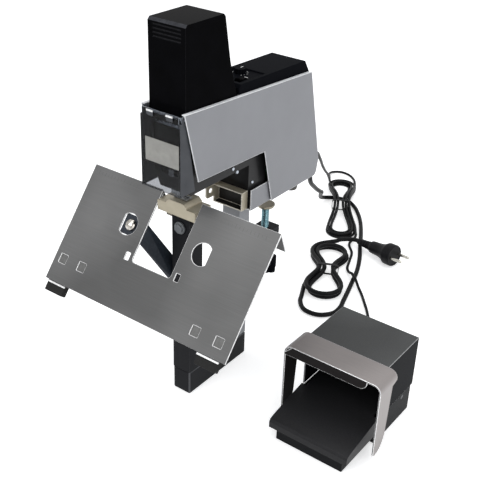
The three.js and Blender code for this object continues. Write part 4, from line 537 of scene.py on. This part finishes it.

# ---------------------------------------------------------------- anvil and its fixed plates
# The anvil head is a nickel-plated casting; the clinch plate let into it is hardened and ground.
# The back stop in the throat is folded from nickel-plated sheet, with painted shade in its hollow
# and a painted highlight on its edges.
nickel = surface("warm_nickel", (156, 148, 129), (170, 162, 143), (0.3, 0.42), 60, 0.02,
                 Metallic=0.4)
ground_steel = surface("ground_steel", (120, 122, 124), (168, 170, 172), (0.18, 0.32), 500, 0.01,
                       stretch=(0.1, 1, 1), Metallic=1.0)
# Painted shade: a dark copy of the nickel for the faces inside the back stop's hollow.
painted_shade_inside = surface("hollow_painted_shade", (26, 25, 24), (44, 42, 40), (0.4, 0.6), 200,
                      Specular_IOR_Level=0.2)
# Painted highlight: a lighter nickel along the back stop's rounded and cut edges.
painted_highlight_nickel = surface("nickel_edge_painted_highlight", (190, 184, 170), (226, 221, 208), (0.2, 0.3), 300,
                        Metallic=0.3)
FACING = 0.9  # least share of a normal along the axis that its face looks to
HOLLOW_BACK, HOLLOW_RIGHT = 90, 20  # y and x that the walls round the hollow lie past
HOLLOW_FLOOR, HOLLOW_CEILING = 229, 251


def in_the_hollow(normal, middle):
    """Whether a face of the back stop looks into its hollow, and so takes the painted shade."""
    return (normal.y < -FACING and middle.y > HOLLOW_BACK
            or normal.x < -FACING and middle.x > HOLLOW_RIGHT
            or abs(normal.z) > FACING and HOLLOW_FLOOR < middle.z < HOLLOW_CEILING)


softened("anvil_head", "root", nickel, 0.7)
softened("clinch_plate", "root", ground_steel, 0.2)
softened("back_stop", "root", nickel, 0.5, edge=painted_highlight_nickel, painted_light=painted_shade_inside,
         painted_light_where=in_the_hollow, held=False)

# ---------------------------------------------------------------- saddle table
# One sheet of 1.5 mm brushed stainless steel, folded at the ridge, with the notch that lets it
# pass the anvil, and its ears on the hinge rod. Its cut edges carry a painted highlight and its
# rules are etched, and brackets under its lower edge hold two rubber pads.
brushed_table = surface("brushed_stainless_table", (93, 93, 93), (98, 98, 98), (0.38, 0.41), 70,
                        0.002, stretch=(0.3, 14, 14), clouds=0.24, Metallic=0.4,
                        Specular_IOR_Level=0.2)
# Painted highlight: near-white for the cut edges and folds of sheet, here and on the guard's clips
# and the pedal's steel guard.
painted_highlight_edge = surface("cut_edge_painted_highlight", (214, 214, 214), (248, 248, 248), (0.2, 0.3), 400,
                   Metallic=0.2)
stay_blue = surface("blue_black_stay", (34, 39, 47), (46, 52, 60), (0.4, 0.5), 300, 0.03,
                    Specular_IOR_Level=0.2)
chrome = surface("chromed_dome", (150, 146, 140), (206, 202, 196), (0.06, 0.14), 260, Metallic=1.0)
pad_rubber = surface("black_rubber_pad", (20, 20, 20), (36, 36, 35), (0.6, 0.8), 700, 0.1,
                     Specular_IOR_Level=0.2)
softened("saddle_table", "table", brushed_table, 0.5, edge=painted_highlight_edge, held=False)
softened("table_hinge_rod", "root", bright_zinc, 0.3)
softened("table_stay", "root", stay_blue, 0.4)
dress(chrome, "stay_dome_nut")
softened("table_pad_left", "table", pad_rubber, 0.6)
softened("table_pad_right", "table", pad_rubber, 0.6)
SLOPE = math.radians(51.2)
TABLE_DOWN = np.array((0, -math.cos(SLOPE), -math.sin(SLOPE)))
TABLE_OUT = np.array((0, -math.sin(SLOPE), math.cos(SLOPE)))
RIDGE_HEIGHT = 273.0
BOX_FACES = [(0, 1, 3, 2), (4, 6, 7, 5), (0, 4, 5, 1), (2, 3, 7, 6), (0, 2, 6, 4), (1, 5, 7, 3)]


def bars(name, boxes, body, material):
    """Straight bars in one piece. Each is its middle and its three edges, in millimetres; its
    corners are the middle plus or minus half of each edge."""
    signs = np.array([(x, y, z) for x in (-1, 1) for y in (-1, 1) for z in (-1, 1)])
    points = np.concatenate([
        middle + signs @ np.array(edges, float) / 2 for middle, edges in boxes])
    faces = [[start + corner for corner in face]
             for start in range(0, len(points), 8) for face in BOX_FACES]
    return mesh_piece(name, points, faces, body, material, smooth=False)


def on_table(x, down, out):
    """Point of the front slope: x across, down from the ridge, out along the outward normal."""
    return np.array((x, 0, RIDGE_HEIGHT)) + down * TABLE_DOWN + out * TABLE_OUT


def flat_on_table(width, depth, thick):
    """Edges of a bar that lies on the front slope."""
    return [(width, 0, 0), depth * TABLE_DOWN, thick * TABLE_OUT]


RULES = [(-125, -60, 8), (40, 120, 10)]  # first x, last x and distance from the ridge
TICK_STEP, SHORT_TICK, LONG_TICK, TICK_WIDTH, TICK_THICK = 5, 3.0, 5.0, 0.36, 0.08
TICK_OUT = 0.02
etched = surface("etched_scale", (66, 66, 66), (84, 84, 84), (0.5, 0.6), 300)
ticks = []
for first, last, down in RULES:
    for number, x in enumerate(range(first, last + 1, TICK_STEP)):
        tick = SHORT_TICK if number % 2 else LONG_TICK
        ticks.append((on_table(x, down, TICK_OUT), flat_on_table(TICK_WIDTH, tick, TICK_THICK)))
bars("table_scale_ticks", ticks, "table", etched)
BRACKETS = [(-107, 46), (102, 48)]  # x and width
BRACKET_DOWN, BRACKET_DEPTH, BRACKET_THICK, BRACKET_OUT = 124.7, 25.6, 1.0, -2.0
plate_steel = surface("bracket_plate_steel", (84, 84, 83), (100, 100, 99), (0.4, 0.5), 200,
                      Metallic=0.2)
bars("table_bracket_plates", [
    (on_table(x, BRACKET_DOWN, BRACKET_OUT), flat_on_table(width, BRACKET_DEPTH, BRACKET_THICK))
    for x, width in BRACKETS], "table", plate_steel)
HOLDERS_X = (-117, 112)
HOLDER_DOWN, HOLDER_OUT, HOLDER_SIZE = 149.8, -1.2, (29, 2.0, 1.2)
# The pad holders are strips drawn wholly in that painted highlight.
bars("table_pad_holders", [
    (on_table(x, HOLDER_DOWN, HOLDER_OUT), flat_on_table(*HOLDER_SIZE))
    for x in HOLDERS_X], "table", painted_highlight_edge)

# ---------------------------------------------------------------- housing
# Two side panels and a back plate of 1.5 mm sheet steel, folded along the top, in smooth satin
# grey paint, with a painted highlight on the folds and on the tops that face up; the tray between
# them is painted with them.
# The leads leave it, and enter the pedal, through rubber glands.
satin_grey = surface("satin_grey_paint", (136, 137, 141), (142, 143, 147), (0.4, 0.5), 26, 0.01,
                     clouds=0.03, Specular_IOR_Level=0.3)
# Painted highlight: near-white for the folds of the panels and the tray, and for the panels' tops.
painted_highlight_fold = surface("fold_painted_highlight", (214, 215, 218), (236, 237, 238), (0.3, 0.4), 200)
FOLD_RISE = 0.6  # least upward share of the normal of a folded top
for side in ("left", "right"):
    softened(f"housing_side_{side}", "root", satin_grey, 0.75, edge=painted_highlight_fold,
             painted_light=painted_highlight_fold, painted_light_where=lambda normal, middle: normal.z > FOLD_RISE,
             held=False)
softened("housing_back", "root", satin_grey, 0.4)
softened("chassis_tray", "root", satin_grey, 0.4, edge=painted_highlight_fold)
gland_rubber = surface("gland_rubber", (12, 12, 13), (26, 26, 28), (0.5, 0.7), 500, 0.06)
dress(gland_rubber, "mains_strain_relief", "lead_strain_relief", "pedal_strain_relief")

# ---------------------------------------------------------------- throat, magazine and board
# Behind the guard: the black arm plates with their screws, the steel nose with the driver blade and
# its guide, the channel with its strip of staples and the moulded pusher. The green board lies in
# the rear tray.
plate_black = surface("arm_plate_black", (26, 26, 27), (34, 34, 35), (0.3, 0.4), 40,
                      Specular_IOR_Level=0.15)
softened("arm_frame", "root", plate_black, 0.6)
SCREW_HEAD = [(0.2, 0), (2.2, 0), (2.2, 0.7), (1.5, 1.2), (0.2, 1.2)]  # radius and distance out
ARM_SIDE = 22.0
ARM_SCREWS = [(62.9, 291.2), (70.8, 284.6), (101.5, 260.6)]  # y and z
for number, (y, z) in enumerate(ARM_SCREWS, 1):
    grid_mesh(f"arm_screw_head_{number}", lathe(SCREW_HEAD, (ARM_SIDE, y, z), (1, 0, 0), sides=24),
              "root", bright_zinc, caps=True)
GUIDE_MIDDLE, GUIDE_SIZE = (2.5, -21.4, 310), (7.6, 0.8, 7.6)
bars("driver_guide_plate", [(GUIDE_MIDDLE, np.diag(GUIDE_SIZE))], "root",
     ground_steel)
softened("head_nose", "root", ground_steel, 0.4)
softened("magazine_channel", "root", ground_steel, 0.2)
softened("driver_blade", "driver", ground_steel, 0.15)
wire_rows = surface("staple_wire_rows", (120, 124, 130), (204, 208, 214), (0.2, 0.35), 900, 0.12,
                    stretch=(0.02, 1.4, 0.02), Metallic=1.0)
softened("staple_strip", "root", wire_rows, 0.3)
white_moulding = surface("white_moulding", (214, 214, 209), (232, 232, 228), (0.4, 0.5), 300, 0.02)
softened("staple_pusher", "pusher", white_moulding, 0.4)
board_green = surface("board_green", (18, 74, 44), (34, 102, 62), (0.3, 0.5), 420, 0.05)
softened("control_board", "root", board_green, 0.2)

# ---------------------------------------------------------------- solenoid
# A copper winding on a bobbin, in a zinc-plated yoke, drives the plunger down; a coil spring of
# steel wire lifts it again.
softened("solenoid_plunger", "driver", bright_zinc, 0.4)
softened("solenoid_yoke", "root", bright_zinc, 0.5)
enamelled_copper = surface("enamelled_copper", (120, 52, 24), (176, 92, 46), (0.2, 0.34), 300,
                           0.02, Metallic=0.9)
COIL_BOTTOM, COIL_TOP, BORE, COIL_OUTER, COIL_CHEEK = 385.0, 449.2, 8.3, 17.5, 1.5
WIRE_TURNS, TURN_POINTS, WINDING_RADIUS, WIRE_RADIUS = 60, 6, 16.6, 0.5
# the winding's outline: radius = 16.6 + 0.5 |sin(pi turn)|, from cheek to cheek
wound = np.linspace(0, 1, WIRE_TURNS * TURN_POINTS + 1)
winding = np.column_stack([
    WINDING_RADIUS + WIRE_RADIUS * np.abs(np.sin(math.pi * WIRE_TURNS * wound)),
    COIL_BOTTOM + COIL_CHEEK + (COIL_TOP - COIL_BOTTOM - 2 * COIL_CHEEK) * wound])
bobbin = [(BORE, COIL_BOTTOM), (COIL_OUTER, COIL_BOTTOM), (COIL_OUTER, COIL_BOTTOM + COIL_CHEEK),
          *winding.tolist(),
          (COIL_OUTER, COIL_TOP - COIL_CHEEK), (COIL_OUTER, COIL_TOP), (BORE, COIL_TOP)]
coil = grid_mesh("solenoid_winding", lathe(bobbin, (0, 0, 0), (0, 0, 1), sides=48), "root",
                 enamelled_copper, wrap_v=True)
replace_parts(coil, "solenoid_coil")
POINTS_A_TURN, POINTS_ROUND_WIRE = 32, 10


def spring(name, radius, wire, turns, start, axis, length, body):
    """Coil spring of round wire: its middle line is start + radius (cos a side + sin a other) +
    rise along the axis, and the wire is a circle square to it."""
    side, other, axis = turned_axes(axis)
    angle = np.linspace(0, 2 * math.pi * turns, round(turns * POINTS_A_TURN) + 1)[:, None]
    outward = np.cos(angle) * side + np.sin(angle) * other
    rise = wire / 2 + (length - wire) * angle / angle[-1]
    line = np.array(start, float) + radius * outward + rise * axis
    onward = np.gradient(line, axis=0)
    onward /= np.linalg.norm(onward, axis=1, keepdims=True)
    around = np.linspace(0, 2 * math.pi, POINTS_ROUND_WIRE, endpoint=False)[None, :, None]
    upward_of_wire = np.cross(onward, outward)[:, None]
    grid = line[:, None] + wire / 2 * (
        np.cos(around) * outward[:, None] + np.sin(around) * upward_of_wire)
    return grid_mesh(name, grid, body, bright_zinc, caps=True)


SPRING_FOOT, SPRING_LENGTH, SPRING_PRESSED = 452.9, 15.6, 3.7
return_spring = spring("return_spring_wire", radius=11.5, wire=0.7, turns=4.5,
                       start=(0, 0, SPRING_FOOT), axis=(0, 0, 1), length=SPRING_LENGTH, body="root")
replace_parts(return_spring, "plunger_return_spring")
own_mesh(return_spring)

# ---------------------------------------------------------------- tower and rear cover
# The tower is one moulding in polished black plastic with three soft grooves, painted highlight
# on its rounded edges and a brighter one on the rim round its top; the rear cover and the sunk
# control plate are moulded with a fine matt grain.
polished_black = surface("polished_black", (8, 8, 9), (11, 11, 13), (0.12, 0.2), 40,
                         Specular_IOR_Level=0.004)
# Painted highlight: a lighter black for the tower's rounded and cut edges.
painted_highlight_black_edge = surface("black_edge_painted_highlight", (24, 24, 26), (34, 34, 37), (0.2, 0.3), 200,
                        Specular_IOR_Level=0.05)
# Painted highlight: a still lighter black for the slanting rim round the tower's top.
painted_highlight_rim = surface("rim_painted_highlight", (44, 45, 49), (58, 59, 63), (0.2, 0.3), 200,
                    Specular_IOR_Level=0.1)
grained_black = surface("grained_black", (12, 13, 16), (18, 19, 23), (0.42, 0.55), 1300, 0.05,
                        Specular_IOR_Level=0.005)
RIM_HEIGHT, RIM_LEAST_RISE = 460, 0.5


def on_top_rim(normal, middle):
    """Whether a face of the tower is part of the slanting rim round its top."""
    return RIM_LEAST_RISE < normal.z < FACING and middle.z > RIM_HEIGHT


softened("tower_cover", "root", polished_black, 1.3, segments=3,
         edge=painted_highlight_black_edge, painted_light=painted_highlight_rim, painted_light_where=on_top_rim)
softened("rear_cover", "root", grained_black, 1.0, segments=3)
softened("control_plate", "root", grained_black, 0.4)

# ---------------------------------------------------------------- controls
# A fluted force knob and the rocker of the mains switch, both moulded in black plastic. The knob's
# scale of plain marks, its pointer and the switch's mark are printed in white.
softened("force_knob", "knob", grained_black, 0.3)
softened("power_rocker", "rocker", polished_black, 0.5, segments=3)
white_print = surface("white_print", (216, 216, 214), (236, 236, 234), (0.5, 0.6), 300)
PLATE_TOP, KNOB_TOP, KNOB_X, KNOB_Y = 388.1, 394.1, -6.0, 109.0
DIAL_FROM, DIAL_TO, DIAL_MARKS, DIAL_RADIUS = -45, 225, 11, 9.1
MARK_LENGTH, MARK_WIDTH, MARK_THICK = 1.8, 0.4, 0.12
SWITCH_MARK, SWITCH_MARK_SIZE = (9, 100.4, PLATE_TOP), (4.8, 1.0, MARK_THICK)
POINTER_OUT, POINTER_SIZE = 3.2, (0.9, 4.8, 0.2)
marks = []
for turn in np.radians(np.linspace(DIAL_FROM, DIAL_TO, DIAL_MARKS)):
    ray = np.array((math.cos(turn), math.sin(turn), 0))
    beside = np.array((-ray[1], ray[0], 0))
    marks.append(((KNOB_X, KNOB_Y, PLATE_TOP) + DIAL_RADIUS * ray,
                  [MARK_LENGTH * ray, MARK_WIDTH * beside, (0, 0, MARK_THICK)]))
marks.append((SWITCH_MARK, np.diag(SWITCH_MARK_SIZE)))
bars("dial_marks", marks, "root", white_print)
bars("knob_pointer", [((KNOB_X, KNOB_Y + POINTER_OUT, KNOB_TOP), np.diag(POINTER_SIZE))], "knob",
     white_print)

# ---------------------------------------------------------------- finger guard
# A folded cover of smoke-tinted clear acrylic on a steel rod, with two clips at its top and a plain
# foil plate on its front. Its side walls are darkened with painted shade, and the clips take the
# same dark smoke as their own tint.
smoked = surface("smoked_acrylic", (138, 140, 144), (150, 152, 156), (0.03, 0.07), 30, clouds=0.02,
                 Transmission_Weight=1.0, IOR=1.18, Specular_IOR_Level=0.3)
smoked_edge = surface("acrylic_edge", (120, 126, 134), (150, 156, 164), (0.1, 0.2), 100,
                      Transmission_Weight=0.4, IOR=1.45)
# Painted shade: a darker, less clear copy of the acrylic for the guard's side walls; the clips take
# it whole as their tint.
dark_smoke_and_painted_shade = surface("side_wall_smoke_painted_shade", (74, 76, 80), (90, 92, 96), (0.1, 0.16), 30, clouds=0.02,
                      Transmission_Weight=0.08, IOR=1.18, Specular_IOR_Level=0.3)
softened("front_guard", "guard", smoked, 0.3, edge=smoked_edge,
         painted_light=dark_smoke_and_painted_shade, painted_light_where=lambda normal, middle: abs(normal.x) > FACING)
PLATE_MIDDLE, PLATE_SIZE = (2.3, -36.15, 338.5), (46.6, 0.3, 27)
label_foil = surface("bare_label_foil", (126, 125, 121), (140, 139, 134), (0.35, 0.5), 120)
bars("bare_label_plate", [(PLATE_MIDDLE, np.diag(PLATE_SIZE))], "guard", label_foil)
softened("guard_rod", "root", bright_zinc, 0.2)
FOLD_Y, FOLD_Z, FOLD_SIZE = -36.8, 382.3, (9, 1.0, 2.0)
for side, x in (("left", -13.5), ("right", 13.5)):
    softened(f"guard_tab_{side}", "guard", dark_smoke_and_painted_shade, 0.15)
    # Each clip's fold is a bar of the same painted highlight.
    bars(f"guard_tab_fold_{side}", [((x, FOLD_Y, FOLD_Z), np.diag(FOLD_SIZE))], "guard",
         painted_highlight_edge)

# ---------------------------------------------------------------- underside: feet and screw clamp
# Two rubber feet under the overhang, and a zinc-plated clamp screw with a star knob and a pad,
# in an arm of black-painted steel.
foot_rubber = surface("grey_rubber_foot", (62, 60, 57), (84, 82, 78), (0.6, 0.75), 500, 0.08)
softened("rubber_foot_left", "root", foot_rubber, 0.8)
softened("rubber_foot_right", "root", foot_rubber, 0.8)
softened("clamp_arm", "root", stand_black, 1.0, segments=3)
softened("clamp_pad", "clamp_pad_body", nickel, 0.4)
softened("clamp_knob", "clamp_screw_body", grained_black, 1.4, segments=3)
blue_zinc = surface("blue_passivated_zinc", (84, 122, 132), (128, 162, 170), (0.2, 0.34), 320,
                    0.02, Metallic=0.8)
SCREW_FOOT, SCREW_LENGTH, SCREW_RADIUS, SCREW_Y = 119.3, 76.4, 5.0, 165
THREAD_PITCH, THREAD_DEPTH, PITCH_POINTS, THREAD_SIDES = 2.0, 0.6, 8, 32
levels = round(SCREW_LENGTH / THREAD_PITCH * PITCH_POINTS) + 1
height = np.linspace(0, SCREW_LENGTH, levels)[:, None]
around = np.linspace(0, 2 * math.pi, THREAD_SIDES, endpoint=False)[None]
# right-hand thread: radius = 5 - 0.6 times the triangle wave of z / pitch - angle / 2 pi
groove = np.abs(2 * ((height / THREAD_PITCH - around / (2 * math.pi)) % 1) - 1)
reach = SCREW_RADIUS - THREAD_DEPTH * groove
threaded = np.stack([reach * np.cos(around), SCREW_Y + reach * np.sin(around),
                     SCREW_FOOT + height + 0 * around], -1)
clamp_thread = grid_mesh("clamp_screw_thread", threaded, "clamp_screw_body",
                         blue_zinc, caps=True)
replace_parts(clamp_thread, "clamp_screw")

# ---------------------------------------------------------------- foot pedal
# A moulded black pan under a painted hood, with a hinged treadle on a pin, its spring and its
# switch. The hood's sides take painted shade and its edges a painted highlight. A guard bent from
# one band of brushed steel stands over the treadle, with painted shade on its front, underside and
# left leg and a painted highlight on its edges.
hood_paint = surface("fine_texture_hood", (70, 71, 71), (82, 83, 83), (0.34, 0.46), 1100, 0.04,
                     clouds=0.2, Specular_IOR_Level=0.1)
# Painted shade: a near-black copy of the hood's paint for its sides.
painted_shade_hood = surface("hood_side_painted_shade", (10, 11, 14), (16, 18, 22), (0.4, 0.5), 1100, 0.04,
                     clouds=0.2, Specular_IOR_Level=0.02)
# Painted highlight: a light grey along the hood's rounded and cut edges.
painted_highlight_hood_edge = surface("hood_edge_painted_highlight", (120, 121, 122), (160, 161, 160), (0.3, 0.4), 300)
pan_moulding = surface("pan_moulding", (15, 16, 18), (24, 25, 27), (0.4, 0.55), 900, 0.05,
                       Specular_IOR_Level=0.06)
treadle_moulding = surface("treadle_moulding", (33, 33, 34), (41, 41, 43), (0.3, 0.42), 1000, 0.04,
                           Specular_IOR_Level=0.1)
brushed_band = surface("brushed_steel_band", (134, 129, 128), (140, 134, 132), (0.3, 0.33), 160,
                       0.001, stretch=(0.3, 8, 10), clouds=0.15, Metallic=0.4,
                       Specular_IOR_Level=0.3)
# Painted shade and a painted reflection of the dark treadle: a near-black copy of the band for its
# front, underside and left leg.
painted_shade_band = surface("steel_band_painted_shade", (24, 22, 22), (34, 31, 31), (0.4, 0.5), 160, 0.003,
                      stretch=(0.3, 8, 10), Specular_IOR_Level=0.05)
HOOD_TOP_RISE = 0.5  # least upward share of the normal of the hood's top
BAND_FRONT, BAND_UNDER, BAND_SIDE = 0.3, 0.5, 0.5  # least shares of a normal forward, down, aside
LEFT_LEG_END = 160


def painted_shade_on_band(normal, middle):
    """Whether a face of the guard looks forward, down, or sideways on its left leg."""
    return (normal.y < -BAND_FRONT or normal.z < -BAND_UNDER
            or middle.x < LEFT_LEG_END and abs(normal.x) > BAND_SIDE)


softened("pedal_pan", "root", pan_moulding, 1.2, segments=3)
softened("pedal_hood", "root", hood_paint, 0.6, edge=painted_highlight_hood_edge, painted_light=painted_shade_hood,
         painted_light_where=lambda normal, middle: normal.z < HOOD_TOP_RISE)
softened("treadle", "treadle_body", treadle_moulding, 1.2, segments=3)
softened("pedal_guard", "root", brushed_band, 0.6, edge=painted_highlight_edge,
         painted_light=painted_shade_band, painted_light_where=painted_shade_on_band, held=False)
softened("treadle_pin", "root", dark_grey_and_edge_highlight, 0.3)
treadle_spring = spring("treadle_spring_wire", radius=6.4, wire=1.1, turns=9,
                        start=(178.2, 126, 30), axis=(1, 0, 0), length=23.6, body="root")
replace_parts(treadle_spring, "treadle_spring")
switch_red = surface("switch_red", (150, 26, 22), (180, 40, 32), (0.3, 0.4), 300, 0.01)
softened("pedal_switch", "root", switch_red, 0.4)
